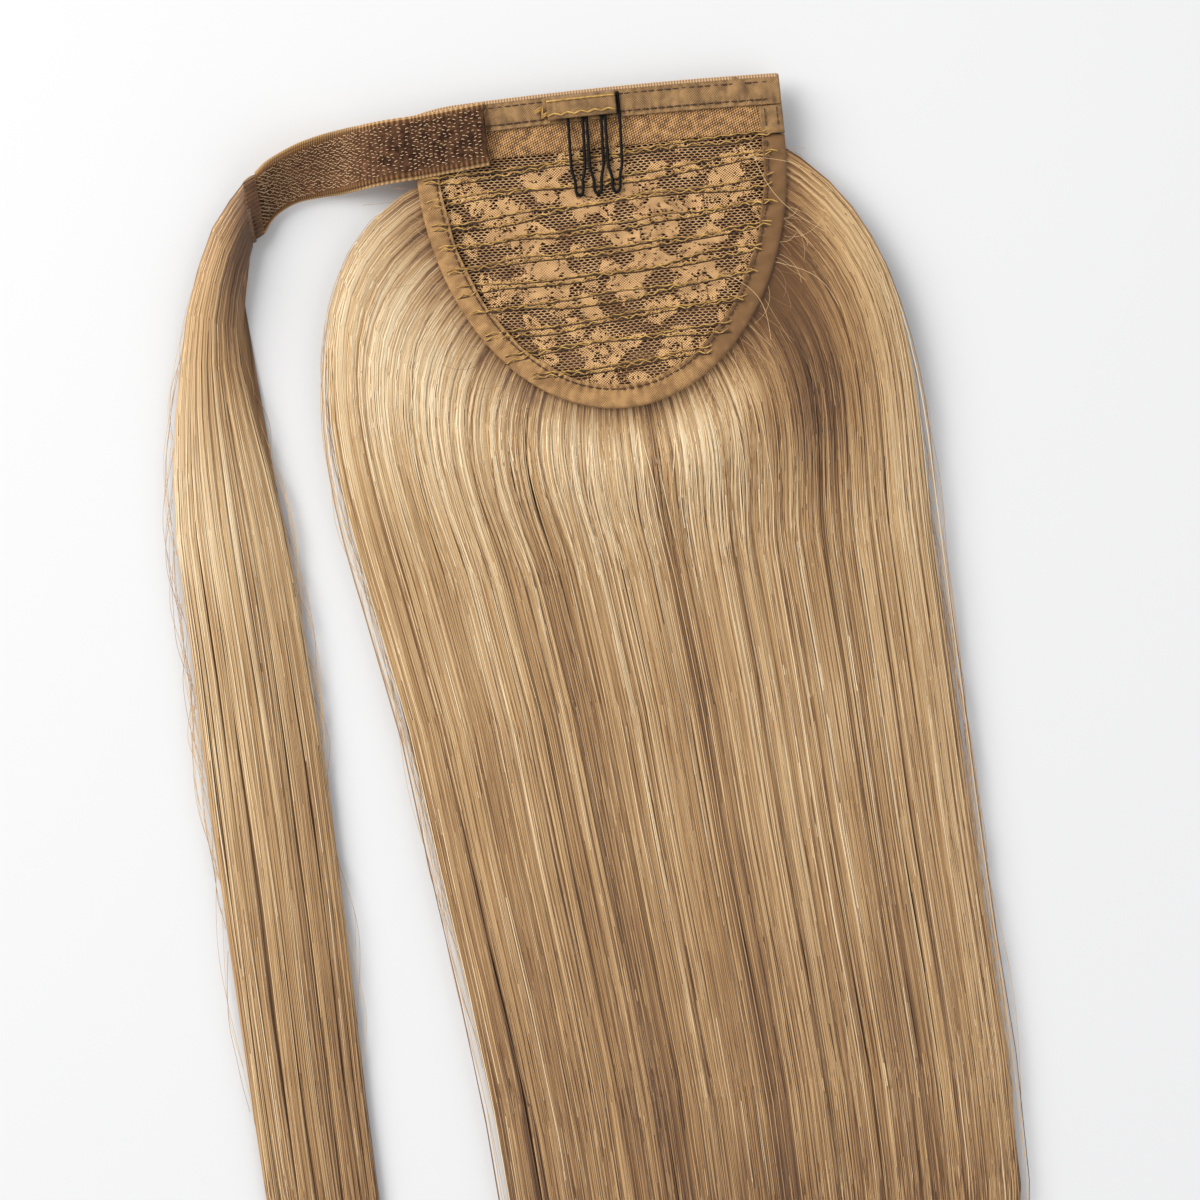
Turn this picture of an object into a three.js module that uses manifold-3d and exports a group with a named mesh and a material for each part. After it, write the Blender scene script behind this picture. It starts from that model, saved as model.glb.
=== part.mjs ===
// A ponytail hairpiece lying on a table, inner side of its small cap upwards.
// Millimetres, +Z up, hair falling along -Y, the cap's straight upper edge along X.

import * as THREE from 'three';
import Module from 'manifold-3d';
import { mergeVertices } from 'three/addons/utils/BufferGeometryUtils.js';

// Cap: straight sides, then half an ellipse
const CAP_WIDTH = 115;
const CAP_STRAIGHT = 20;
const CAP_DROP = 80;
const CAP_ARCH = 1.2;
const CAP_TOP_HEIGHT = 8;
const CAP_SLOPE = 0.09;

// Cloth thicknesses and the clearance between sewn pieces
const PANEL_THICK = 0.8;
const CLOTH_THICK = 0.8;
const GAP = 0.3;
const MERGE_REACH = 0.00001;

// Tapes sewn round the cap
const BINDING_WIDTH = 7.2;
const BAND_WIDTH = 9.5;
const FOLD_DEPTH = 1.6;
const STRETCH_WIDTH = 9;
const TAB_EXTRA = 0.8;
const RIM_STEPS = 44;
const BAND_STEPS = 16;

// Wire comb and its sleeve
const WIRE_RADIUS = 0.4;
const TOOTH_COUNT = 3;
const TOOTH_PITCH = 5.75;
const TOOTH_WIDTH = 4.5;
const TOOTH_LENGTH = 24.7;
const COMB_CENTRE = -0.85;
const COMB_LEAN = -0.045;
const WIRE_STUB = 7;
const WIRE_SIDES = 6;
const WIRE_TENSION = 0.2;
const COMB_STEPS = 96;
const SLEEVE_SPILL = 6.2;
const SLEEVE_BACK = 1.2;
const SLEEVE_SHORT = 1;
const SLEEVE_STEPS = 6;
const SLEEVE_CREST = 1.2;
const SLEEVE_LIP = 0.4;

// Wrap strap: a ribbon with hook tape on it
const TAPE_WIDTH = 18;
const RIBBON_EXTRA = 0.7;
const HOOK_THICK = 1.2;
const STRAP_OVERLAP = 23;
const STRAP_REACH = 49.5;
const STRAP_TURN = 13.3;
const STRAP_DEPTH = 10.6;
const FLOOR_GAP = 0.6;

// Wrap strand and the weft that holds it
const WEFT_LENGTH = 3.4;
const WEFT_THICK = 3.4;
const WEFT_START = 0.45;
const WEFT_SLANT = 0.5;
const WRAP_WIDTH = 32;
const WRAP_HEIGHT = 11;
const WRAP_FALL = 352;
const WRAP_LOCKS = 6;
const WRAP_EDGE = 0.8;
const WRAP_RAGGED = 0.05;

// Main hair
const HAIR_WIDTH = 174;
const HAIR_HEIGHT = 16.5;
const HAIR_FALL = 306;
const HAIR_LOCKS = 22;
const HAIR_EDGE = 0.62;
const HAIR_RAGGED = 0.04;
const LOCK_BEAT = 2.4;
const LOCK_LAP = 1.55;
const EDGE_LOCK = 0.62;
const TIP_START = 0.85;
const TIP_SHARE = 0.45;
const ROOT_TURN = 3;
const ROOT_INSET = 12;
const ROOT_LEAN_LEFT = 0.35;
const ROOT_LEAN_RIGHT = 0.7;
const ROOT_PULL = 1.15;
const GATHER_PULL = 0.95;
const ARC_SHARE = 0.4;
const CREST_SHARE = 0.16;
const UNDER_SHARE = 0.05;

// Where the locks have their cross-sections, from the root to the tips
const HAIR_STATIONS = [-0.01, 0.02, 0.08, 0.15, 0.23, 0.32, 0.42, 0.52, 0.64, 0.78, 0.9, 1];
const WRAP_STATIONS = [0, 0.012, 0.03, 0.06, 0.1, 0.15, 0.22, 0.34, 0.5, 0.7, 0.88, 1];

// Where the hair's sides lie below the cap, as shares of the fall and of the hair's width
const FALL_ROWS = [
  { down: 0.163, left: -0.49, right: 0.52 },
  { down: 0.327, left: -0.44, right: 0.53 },
  { down: 0.49, left: -0.41, right: 0.539 },
  { down: 0.654, left: -0.372, right: 0.556 },
  { down: 0.817, left: -0.353, right: 0.559 },
  { down: 1, left: -0.322, right: 0.529 },
];

// Height of the hair from the cap's rim to the tips, as shares of its greatest height
const HEIGHT_ROWS = [
  { along: 0, height: 0.94 },
  { along: 0.12, height: 1 },
  { along: 0.3, height: 0.78 },
  { along: 0.5, height: 0.62 },
  { along: 0.75, height: 0.5 },
  { along: 0.93, height: 0.36 },
  { along: 1, height: 0.12 },
];

// Strap from the cap outwards: shares of its overlap or reach and of its turn, lift as a share
// of the cap's height, seat 1 where it lies on the cap, bank and skew of its cross line in degrees
const STRAP_ROWS = [
  { out: -1, turn: 0, lift: 1, seat: 1, bank: 0, skew: 0 },
  { out: -0.37, turn: 0.105, lift: 1, seat: 1, bank: 0, skew: 0 },
  { out: 0.085, turn: 0.17, lift: 1, seat: 1, bank: 0, skew: 0 },
  { out: 0.34, turn: 0.21, lift: 0.68, seat: 0, bank: 2, skew: 3 },
  { out: 0.468, turn: 0.245, lift: 0.36, seat: 0, bank: 13, skew: 5 },
  { out: 0.594, turn: 0.29, lift: 0.16, seat: 0, bank: 25, skew: 6 },
  { out: 0.723, turn: 0.38, lift: 0.1, seat: 0, bank: 34, skew: 6 },
  { out: 0.823, turn: 0.515, lift: 0.1, seat: 0, bank: 37, skew: 5 },
  { out: 0.924, turn: 0.722, lift: 0.13, seat: 0, bank: 35, skew: 2 },
  { out: 1, turn: 1, lift: 0.2, seat: 0, bank: 24, skew: -1 },
];
const STRAP_STEPS = 5;

// Wrap strand: shares of its fall and width from the weft, heights as shares of its own
const WRAP_ROWS = [
  { down: 0.004, side: -0.13, spread: 0.62, turn: 88, low: 0.2, high: 0.85 },
  { down: 0.02, side: -0.27, spread: 0.6, turn: 74, low: 0.12, high: 0.98 },
  { down: 0.05, side: -0.43, spread: 0.5, turn: 52, low: 0, high: 1 },
  { down: 0.085, side: -0.56, spread: 0.46, turn: 30, low: 0, high: 0.95 },
  { down: 0.125, side: -0.63, spread: 0.52, turn: 12, low: 0, high: 0.86 },
  { down: 0.175, side: -0.66, spread: 0.68, turn: 3, low: 0, high: 0.78 },
  { down: 0.25, side: -0.65, spread: 0.9, turn: 0, low: 0, high: 0.72 },
  { down: 0.4, side: -0.57, spread: 1, turn: 0, low: 0, high: 0.66 },
  { down: 0.6, side: -0.5, spread: 1.02, turn: 0, low: 0, high: 0.58 },
  { down: 0.8, side: -0.46, spread: 0.98, turn: 0, low: 0, high: 0.5 },
  { down: 0.94, side: -0.4, spread: 0.9, turn: 0, low: 0, high: 0.36 },
  { down: 1, side: -0.37, spread: 0.66, turn: 0, low: 0, high: 0.14 },
];

// Bends of one comb tooth: shares of its length and of its half width
const TOOTH_BENDS = [
  { down: 0, half: 1.02 },
  { down: 0.64, half: 0.95 },
  { down: 0.73, half: 0.72 },
  { down: 0.81, half: 0.5 },
  { down: 0.9, half: 0.53 },
  { down: 0.96, half: 0.45 },
];

// Cross-section of a lock, flat below and rounded above: across from -0.5 to 0.5, up to 1
const LOCK_PROFILE = [
  [-0.5, 0],
  [0.5, 0],
  [0.41, 0.62],
  [0.2, 0.93],
  [-0.2, 0.93],
  [-0.41, 0.62],
];

const HALF_WIDTH = CAP_WIDTH / 2;
const CAP_DEPTH = CAP_STRAIGHT + CAP_DROP;
const SLOT = PANEL_THICK + 2 * GAP;
const TAPE_THICK = SLOT + 2 * CLOTH_THICK;
const HALF_TURN = 180;

const wasm = await Module();
wasm.setup();

// Small helpers

function mix(from, to, share) {
  return from + (to - from) * share;
}

function smooth(share) {
  const held = Math.min(1, Math.max(0, share));
  return held * held * (3 - 2 * held);
}

function steps(count) {
  return Array.from({ length: count + 1 }, (_, index) => index / count);
}

function readRows(rows, key, at, name) {
  const last = rows.length - 1;
  const next = Math.max(1, Math.min(last, rows.findIndex((row) => row[key] >= at)));
  const upper = rows[at > rows[last][key] ? last : next];
  const lower = rows[at > rows[last][key] ? last - 1 : next - 1];
  const share = Math.min(1, Math.max(0, (at - lower[key]) / (upper[key] - lower[key])));
  return mix(lower[name], upper[name], share);
}

function signedArea(points) {
  return THREE.ShapeUtils.area(points.map(([x, y]) => new THREE.Vector2(x, y)));
}

// Flat faces that close an end, wound like the outline itself
function endFaces(outline) {
  const contour = outline.map(([x, y]) => new THREE.Vector2(x, y));
  const way = Math.sign(signedArea(outline));
  return THREE.ShapeUtils.triangulateShape(contour, []).map(([a, b, c]) => {
    const turns = Math.sign(signedArea([outline[a], outline[b], outline[c]]));
    return turns === way ? [a, b, c] : [a, c, b];
  });
}

function volumeOf(points, faces) {
  return faces.reduce((sum, [a, b, c]) => {
    const cross = new THREE.Vector3().crossVectors(points[b], points[c]);
    return sum + points[a].dot(cross) / 6;
  }, 0);
}

// A closed solid that carries one outline through a row of stations
function loft(outlines, place) {
  const count = outlines[0].length;
  const points = outlines.flatMap((outline, station) => outline.map((spot) => place(station, spot)));
  const faces = [];
  for (let station = 0; station < outlines.length - 1; station += 1) {
    for (let spot = 0; spot < count; spot += 1) {
      const here = station * count + spot;
      const beside = station * count + ((spot + 1) % count);
      faces.push([here, beside, beside + count]);
      faces.push([here, beside + count, here + count]);
    }
  }
  const lastRing = (outlines.length - 1) * count;
  endFaces(outlines[0]).forEach(([a, b, c]) => faces.push([a, c, b]));
  endFaces(outlines[outlines.length - 1]).forEach(([a, b, c]) => {
    faces.push([lastRing + a, lastRing + b, lastRing + c]);
  });
  const outward = volumeOf(points, faces) > 0 ? faces : faces.map(([a, b, c]) => [a, c, b]);
  const geometry = new THREE.BufferGeometry().setFromPoints(points);
  geometry.setIndex(outward.flat());
  return geometry;
}

function solidOf(geometry) {
  const merged = mergeVertices(geometry, MERGE_REACH);
  return new wasm.Manifold(
    new wasm.Mesh({
      numProp: 3,
      vertProperties: new Float32Array(merged.attributes.position.array),
      triVerts: new Uint32Array(merged.index.array),
    }),
  );
}

function fuse(geometries) {
  const whole = geometries.map(solidOf).reduce((sum, solid) => sum.add(solid));
  const mesh = whole.getMesh();
  const geometry = new THREE.BufferGeometry();
  geometry.setAttribute('position', new THREE.BufferAttribute(mesh.vertProperties, mesh.numProp));
  geometry.setIndex(Array.from(mesh.triVerts));
  return geometry;
}

// The cap's middle surface is one gentle slope, rising towards the lower rim

function capHeight(y) {
  return CAP_TOP_HEIGHT - CAP_SLOPE * y;
}

function topEdge(x) {
  return -CAP_ARCH * (x / HALF_WIDTH) ** 2;
}

// A point of the rim, at a turn of 0 to 180 degrees from the left side round to the right,
// with a rise up the straight side and an inset towards the middle of the cap
function rimPoint(turn, rise = 0, inset = 0) {
  const angle = THREE.MathUtils.degToRad(turn);
  const across = -Math.cos(angle);
  const down = Math.sin(angle);
  const normal = new THREE.Vector2(across / HALF_WIDTH, -down / CAP_DROP).normalize();
  const edge = new THREE.Vector2(across * HALF_WIDTH, rise - CAP_STRAIGHT - down * CAP_DROP);
  return { x: edge.x - normal.x * inset, y: edge.y - normal.y * inset, normal };
}

// Folded tape: an outline that is open on its inner side, with a slot for the panel
function foldedTape(width, extra = 0) {
  const half = TAPE_THICK / 2 + extra;
  return [
    [0, -half],
    [width, -half],
    [width, -SLOT / 2],
    [FOLD_DEPTH, -SLOT / 2],
    [FOLD_DEPTH, SLOT / 2],
    [width, SLOT / 2],
    [width, half],
    [0, half],
  ];
}

// A flat panel between the cap's two sides, given by rows of half widths and depths
function panelOf(rows) {
  const outlines = rows.map(({ half }) => [
    [-half, -PANEL_THICK / 2],
    [half, -PANEL_THICK / 2],
    [half, PANEL_THICK / 2],
    [-half, PANEL_THICK / 2],
  ]);
  return loft(outlines, (station, [x, up]) => {
    const { y } = rows[station];
    return new THREE.Vector3(x, y, capHeight(y) + up);
  });
}

// Rows of the cap's width between two depths, inset from the rim
function capRows(from, to, inset) {
  const rows = [];
  if (from < CAP_STRAIGHT) {
    rows.push({ y: -from, half: HALF_WIDTH - inset });
  }
  if (to <= CAP_STRAIGHT) {
    rows.push({ y: -to, half: HALF_WIDTH - inset });
    return rows;
  }
  steps(RIM_STEPS / 2).slice(0, -1).forEach((share) => {
    const point = rimPoint((share * HALF_TURN) / 2, 0, inset);
    if (-point.y > from) {
      rows.push({ y: point.y, half: -point.x });
    }
  });
  return rows;
}

const BAND_EDGE = BAND_WIDTH + CAP_ARCH;
const STRETCH_EDGE = BAND_WIDTH + STRETCH_WIDTH;
const PANEL_INSET = FOLD_DEPTH + GAP;

function makeLacePanel() {
  return panelOf(capRows(STRETCH_EDGE + GAP, CAP_DEPTH, PANEL_INSET));
}

function makeStretchPanel() {
  return panelOf(capRows(CAP_ARCH + PANEL_INSET, STRETCH_EDGE, PANEL_INSET));
}

// The binding runs up the left side to the band, and on the right side it ends below the tab
function makeEdgeBinding() {
  const route = [
    { turn: 0, rise: CAP_STRAIGHT - BAND_EDGE - GAP },
    ...steps(RIM_STEPS).map((share) => ({ turn: share * HALF_TURN, rise: 0 })),
  ];
  const outlines = route.map(() => foldedTape(BINDING_WIDTH));
  return loft(outlines, (station, [inset, up]) => {
    const { turn, rise } = route[station];
    const point = rimPoint(turn, rise, inset);
    return new THREE.Vector3(point.x, point.y, capHeight(point.y) + up);
  });
}

function makeTopBand() {
  const stations = steps(BAND_STEPS).map((share) => mix(-HALF_WIDTH, HALF_WIDTH, share));
  return loft(stations.map(() => foldedTape(BAND_WIDTH)), (station, [inset, up]) => {
    const x = stations[station];
    const y = topEdge(x) - inset;
    return new THREE.Vector3(x, y, capHeight(y) + up);
  });
}

function makeEndTab() {
  const ends = [-BAND_EDGE - GAP, -CAP_STRAIGHT + GAP];
  return loft(ends.map(() => foldedTape(BINDING_WIDTH, TAB_EXTRA / 2)), (station, [inset, up]) => {
    const y = ends[station];
    return new THREE.Vector3(HALF_WIDTH - inset, y, capHeight(y) + up);
  });
}

// Comb

const WIRE_SEAT = TAPE_THICK / 2 + GAP + WIRE_RADIUS;
const WIRE_LOW = PANEL_THICK / 2 + GAP + WIRE_RADIUS;
const SLEEVE_MOUTH = BAND_WIDTH - SLEEVE_SHORT;
const COMB_ROOT = SLEEVE_MOUTH / 2;
const COMB_FIRST = COMB_CENTRE - TOOTH_PITCH * ((TOOTH_COUNT - 1) / 2);

function wirePoint(x, depth) {
  const y = topEdge(x) - depth;
  const reach = smooth((depth - BAND_WIDTH - 2 * WIRE_RADIUS) / TOOTH_LENGTH);
  const up = mix(WIRE_SEAT, WIRE_LOW, reach);
  const lean = COMB_LEAN * Math.max(0, depth - SLEEVE_MOUTH);
  return new THREE.Vector3(x + lean, y, capHeight(y) + up);
}

// One wire: down each tooth, round its tip, up again and over to the next one
function combRoute() {
  const route = [wirePoint(COMB_FIRST - TOOTH_WIDTH, COMB_ROOT)];
  for (let tooth = 0; tooth < TOOTH_COUNT; tooth += 1) {
    const centre = COMB_FIRST + tooth * TOOTH_PITCH;
    const side = (down, half) => {
      const depth = SLEEVE_MOUTH + down * TOOTH_LENGTH;
      return wirePoint(centre + (half * TOOTH_WIDTH) / 2, depth);
    };
    const innerEdge = TOOTH_PITCH - TOOTH_WIDTH;
    const turnDepth = COMB_ROOT + innerEdge / 2;
    route.push(wirePoint(centre - TOOTH_WIDTH / 2, turnDepth));
    TOOTH_BENDS.forEach(({ down, half }) => route.push(side(down, -half)));
    route.push(side(1, 0));
    [...TOOTH_BENDS].reverse().forEach(({ down, half }) => route.push(side(down, half)));
    route.push(wirePoint(centre + TOOTH_WIDTH / 2, turnDepth));
    if (tooth < TOOTH_COUNT - 1) {
      route.push(wirePoint(centre + TOOTH_PITCH / 2, COMB_ROOT));
    }
  }
  const lastX = COMB_FIRST + (TOOTH_COUNT - 1) * TOOTH_PITCH + TOOTH_WIDTH / 2;
  route.push(wirePoint(lastX, Math.max(WIRE_RADIUS, SLEEVE_MOUTH - WIRE_STUB)));
  return route;
}

function makeComb() {
  const route = new THREE.CatmullRomCurve3(combRoute(), false, 'catmullrom', WIRE_TENSION);
  const section = steps(WIRE_SIDES).slice(0, -1).map((share) => {
    const angle = share * Math.PI * 2;
    return new THREE.Vector2(Math.cos(angle) * WIRE_RADIUS, Math.sin(angle) * WIRE_RADIUS);
  });
  const wire = new THREE.ExtrudeGeometry(new THREE.Shape(section), {
    steps: COMB_STEPS,
    extrudePath: route,
    bevelEnabled: false,
  });
  wire.deleteAttribute('normal');
  wire.deleteAttribute('uv');
  return mergeVertices(wire, MERGE_REACH);
}

function makeCombSleeve() {
  const left = COMB_FIRST - TOOTH_WIDTH / 2 - SLEEVE_SPILL;
  const lastWire = COMB_FIRST + (TOOTH_COUNT - 1) * TOOTH_PITCH + TOOTH_WIDTH / 2;
  const right = lastWire - WIRE_RADIUS - GAP;
  const foot = TAPE_THICK / 2 + GAP;
  const inner = WIRE_SEAT + WIRE_RADIUS + GAP;
  const outline = [
    [SLEEVE_BACK, foot],
    [SLEEVE_BACK + CLOTH_THICK, foot],
    [SLEEVE_BACK + CLOTH_THICK, inner],
    [SLEEVE_MOUTH, inner],
    [SLEEVE_MOUTH, inner + CLOTH_THICK],
    [SLEEVE_BACK + CLOTH_THICK, inner + CLOTH_THICK * SLEEVE_CREST],
    [SLEEVE_BACK, inner + CLOTH_THICK * SLEEVE_LIP],
  ];
  const stations = steps(SLEEVE_STEPS).map((share) => mix(left, right, share));
  return loft(stations.map(() => outline), (station, [depth, up]) => {
    const x = stations[station];
    const y = topEdge(x) - depth;
    return new THREE.Vector3(x, y, capHeight(y) + up);
  });
}

// Strap

const STRAP_SEAT = TAPE_THICK / 2 + GAP;
const RIBBON_WIDTH = TAPE_WIDTH + 2 * RIBBON_EXTRA;
const HOOK_SEAT = CLOTH_THICK + GAP;

// The rows of the strap's table with smooth steps between them
function strapStations() {
  const last = STRAP_ROWS.length - 1;
  const near = (index) => STRAP_ROWS[Math.min(last, Math.max(0, index))];
  const between = (index, share) => {
    const rows = [-1, 0, 1, 2].map((offset) => near(index + offset));
    const value = (name) => {
      const [before, from, to, after] = rows.map((row) => row[name]);
      const pull = (to - before) / 2;
      const hold = (after - from) / 2;
      const ease = smooth(share);
      const lead = share * (1 - share) ** 2;
      const trail = share * share * (share - 1);
      return mix(from, to, ease) + lead * pull + trail * hold;
    };
    const seat = mix(rows[1].seat, rows[2].seat, share);
    return { ...Object.fromEntries(Object.keys(near(0)).map((name) => [name, value(name)])), seat };
  };
  const stations = [];
  for (let index = 0; index < last; index += 1) {
    steps(STRAP_STEPS).slice(0, -1).forEach((share) => stations.push(between(index, share)));
  }
  return [...stations, near(last)];
}

const STATIONS = strapStations();

// A point of the strap at a station, across its width and up from its underside
function strapPoint(station, across, up) {
  const span = station.out < 0 ? STRAP_OVERLAP : STRAP_REACH;
  const x = -HALF_WIDTH - station.out * span;
  const y = -STRAP_DEPTH - station.turn * STRAP_TURN;
  const bank = THREE.MathUtils.degToRad(station.bank);
  const skew = THREE.MathUtils.degToRad(station.skew);
  const flat = across * Math.cos(bank) - up * Math.sin(bank);
  const px = x + flat * Math.sin(skew);
  const py = y + flat * Math.cos(skew);
  const seated = capHeight(py) + STRAP_SEAT + up;
  const rest = FLOOR_GAP + (RIBBON_WIDTH / 2) * Math.sin(Math.abs(bank));
  const lift = rest + station.lift * capHeight(-STRAP_DEPTH);
  const free = lift + across * Math.sin(bank) + up * Math.cos(bank);
  return new THREE.Vector3(px, py, mix(free, seated, station.seat));
}

// A layer of the strap between two heights, with its width given by points on one half
function strapLayer(halves, from, thick) {
  const spots = [...halves.map((half) => -half), 0, ...[...halves].reverse()];
  const outline = [
    ...spots.map((across) => [across, from]),
    ...[...spots].reverse().map((across) => [across, from + thick]),
  ];
  return loft(STATIONS.map(() => outline), (station, [across, up]) => {
    return strapPoint(STATIONS[station], across, up);
  });
}

// Weft and wrap strand

const strapEnd = STATIONS[STATIONS.length - 1];
const STRAP_THICK = HOOK_SEAT + HOOK_THICK;

function endPoint(across, up, beyond) {
  const point = strapPoint(strapEnd, across, up);
  return new THREE.Vector3(point.x - beyond, point.y - beyond * WEFT_SLANT, point.z);
}

function makeWrapWeft() {
  const half = RIBBON_WIDTH / 2;
  const low = (STRAP_THICK - WEFT_THICK) / 2;
  const outline = [
    [-half, low],
    [half, low],
    [half, low + WEFT_THICK],
    [-half, low + WEFT_THICK],
  ];
  const beyond = [WEFT_START, WEFT_START + WEFT_LENGTH];
  return loft([outline, outline], (station, [across, up]) => endPoint(across, up, beyond[station]));
}

// One lock of a head of hair, along the field that places it, with a reach from root to tip
function lockOf(field, share, spacing, reach) {
  const stations = field.stations.map((along) => along * reach);
  return loft(stations.map(() => LOCK_PROFILE), (station, [across, up]) => {
    const along = stations[station];
    const middle = field.at(share, along);
    const left = field.at(share - spacing / 2, along);
    const right = field.at(share + spacing / 2, along);
    const taper = smooth((along / reach - TIP_START) / (1 - TIP_START));
    const width = LOCK_LAP * mix(1, TIP_SHARE, taper);
    const x = middle.x + (right.x - left.x) * across * width;
    const y = middle.y + (right.y - left.y) * across * width;
    const high = Math.min(middle.high, field.ceiling(y, along));
    return new THREE.Vector3(x, y, mix(middle.low, high, up));
  });
}

// Neighbouring locks end at different lengths
function lockReach(index, ragged) {
  return 1 - (ragged * (1 + Math.sin(index * LOCK_BEAT))) / 2;
}

const weftEnd = endPoint(0, 0, WEFT_START + WEFT_LENGTH + GAP);

const wrapField = {
  stations: WRAP_STATIONS,
  at(share, along) {
    const row = (name) => readRows(WRAP_ROWS, 'down', along, name);
    const angle = THREE.MathUtils.degToRad(row('turn'));
    const span = (share - 0.5) * row('spread') * WRAP_WIDTH;
    const side = (row('side') - WRAP_ROWS[0].side) * WRAP_WIDTH;
    return {
      x: weftEnd.x + side + span * Math.cos(angle),
      y: weftEnd.y - along * WRAP_FALL - span * Math.sin(angle),
      low: row('low') * WRAP_HEIGHT,
      high: row('high') * WRAP_HEIGHT * mix(WRAP_EDGE, 1, Math.sin(Math.PI * share)),
    };
  },
  ceiling: () => Infinity,
};

function makeWrapStrand() {
  const spacing = 1 / WRAP_LOCKS;
  const locks = steps(WRAP_LOCKS - 1).map((part, index) => {
    const share = mix(spacing * EDGE_LOCK, 1 - spacing * EDGE_LOCK, part);
    return lockOf(wrapField, share, spacing, lockReach(index, WRAP_RAGGED));
  });
  return fuse(locks);
}

// Main hair: a lock leaves the rim square to it, turns downwards and joins the fall

function hairRow(share, down) {
  const left = readRows(FALL_ROWS, 'down', down, 'left') * HAIR_WIDTH;
  const right = readRows(FALL_ROWS, 'down', down, 'right') * HAIR_WIDTH;
  return new THREE.Vector2(mix(left, right, share), -CAP_DEPTH - down * HAIR_FALL);
}

const GATHER = FALL_ROWS[0].down;

function hairPoint(share, along) {
  if (along >= ARC_SHARE) {
    return hairRow(share, mix(GATHER, 1, (along - ARC_SHARE) / (1 - ARC_SHARE)));
  }
  const turn = mix(ROOT_TURN, HALF_TURN - ROOT_TURN, share);
  if (along < 0) {
    const inner = rimPoint(turn, 0, ROOT_INSET);
    return new THREE.Vector2(inner.x, inner.y);
  }
  const root = rimPoint(turn);
  const away = new THREE.Vector2(root.normal.x, root.normal.y);
  away.y -= mix(ROOT_LEAN_LEFT, ROOT_LEAN_RIGHT, share);
  away.normalize();
  const gather = hairRow(share, GATHER);
  const heading = hairRow(share, FALL_ROWS[1].down).sub(gather).normalize();
  const span = gather.distanceTo(new THREE.Vector2(root.x, root.y));
  const t = along / ARC_SHARE;
  const bend = (from, fromPull, to, toPull) => {
    const start = (1 + 2 * t) * (1 - t) ** 2 * from + t * (1 - t) ** 2 * fromPull;
    return start + t * t * (3 - 2 * t) * to + t * t * (t - 1) * toPull;
  };
  const pull = ROOT_PULL * span;
  const hold = GATHER_PULL * span;
  return new THREE.Vector2(
    bend(root.x, pull * away.x, gather.x, hold * heading.x),
    bend(root.y, pull * away.y, gather.y, hold * heading.y),
  );
}

const hairField = {
  stations: HAIR_STATIONS,
  at(share, along) {
    const point = hairPoint(share, along);
    const rooted = rimPoint(mix(ROOT_TURN, HALF_TURN - ROOT_TURN, share));
    const under = capHeight(rooted.y) - TAPE_THICK / 2 - GAP;
    const edge = mix(HAIR_EDGE, 1, Math.sin(Math.PI * Math.min(1, Math.max(0, share))));
    const crest = readRows(HEIGHT_ROWS, 'along', along, 'height') * HAIR_HEIGHT * edge;
    return { x: point.x, y: point.y, low: 0, high: mix(under, crest, smooth(along / CREST_SHARE)) };
  },
  ceiling(y, along) {
    return along < UNDER_SHARE ? capHeight(y) - TAPE_THICK / 2 - GAP : Infinity;
  },
};

// The wefts under the cap, that every lock grows out of
function makeWeftBed() {
  const rows = capRows(BAND_EDGE + BINDING_WIDTH / 2, CAP_DEPTH, BINDING_WIDTH + 2 * GAP);
  const outlines = rows.map(({ half }) => [
    [-half, 0],
    [half, 0],
    [half, 1],
    [-half, 1],
  ]);
  return loft(outlines, (station, [x, up]) => {
    const { y } = rows[station];
    return new THREE.Vector3(x, y, up * (capHeight(y) - PANEL_THICK / 2 - GAP));
  });
}

function makeHairFall() {
  const spacing = 1 / HAIR_LOCKS;
  const locks = steps(HAIR_LOCKS - 1).map((part, index) => {
    const share = mix(spacing * EDGE_LOCK, 1 - spacing * EDGE_LOCK, part);
    return lockOf(hairField, share, spacing, lockReach(index, HAIR_RAGGED));
  });
  return fuse([makeWeftBed(), ...locks]);
}

// Finishes

function finish(color, roughness, metalness = 0) {
  return new THREE.MeshStandardMaterial({ color, roughness, metalness });
}

const lace = finish(0xbe915a, 0.9);
const knit = finish(0xa77a4c, 0.9);
const tape = finish(0xb28758, 0.85);
const ribbon = finish(0xa57c50, 0.85);
const hooks = finish(0x5f412d, 0.8);
const wire = finish(0x191616, 0.35, 0.6);
const hair = finish(0xc39b6e, 0.5);

const PIECES = [
  ['lace_panel', makeLacePanel(), lace],
  ['stretch_panel', makeStretchPanel(), knit],
  ['edge_binding', makeEdgeBinding(), tape],
  ['top_band', makeTopBand(), tape],
  ['end_tab', makeEndTab(), tape],
  ['comb_sleeve', makeCombSleeve(), tape],
  ['comb', makeComb(), wire],
  ['strap_backing', strapLayer([RIBBON_WIDTH / 2, TAPE_WIDTH / 2], 0, CLOTH_THICK), ribbon],
  ['hook_tape', strapLayer([TAPE_WIDTH / 2], HOOK_SEAT, HOOK_THICK), hooks],
  ['wrap_weft', makeWrapWeft(), tape],
  ['wrap_strand', makeWrapStrand(), hair],
  ['hair_fall', makeHairFall(), hair],
];

const hairpiece = new THREE.Group();
PIECES.forEach(([name, geometry, material]) => {
  const mesh = new THREE.Mesh(geometry, material);
  mesh.name = name;
  hairpiece.add(mesh);
});

// The origin is the middle of the whole piece, on the surface that it lies on
const box = new THREE.Box3().setFromObject(hairpiece);
const middle = box.getCenter(new THREE.Vector3());
hairpiece.position.set(-middle.x, -middle.y, -box.min.z);

export default hairpiece;
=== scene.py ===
# %% [markdown]
# # A ponytail hairpiece, built in cells
# The real thing is a small lace base, bound with tape, that carries rows of hair. A wire comb
# holds it on a ponytail, and a strap with hook tape winds a thin strand round the root. It lies
# on a pale table with the inner side of its base upwards. The solids of the piece are loaded
# first and are never changed. Every visible piece below is made in the place of one of them.

import math

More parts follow.
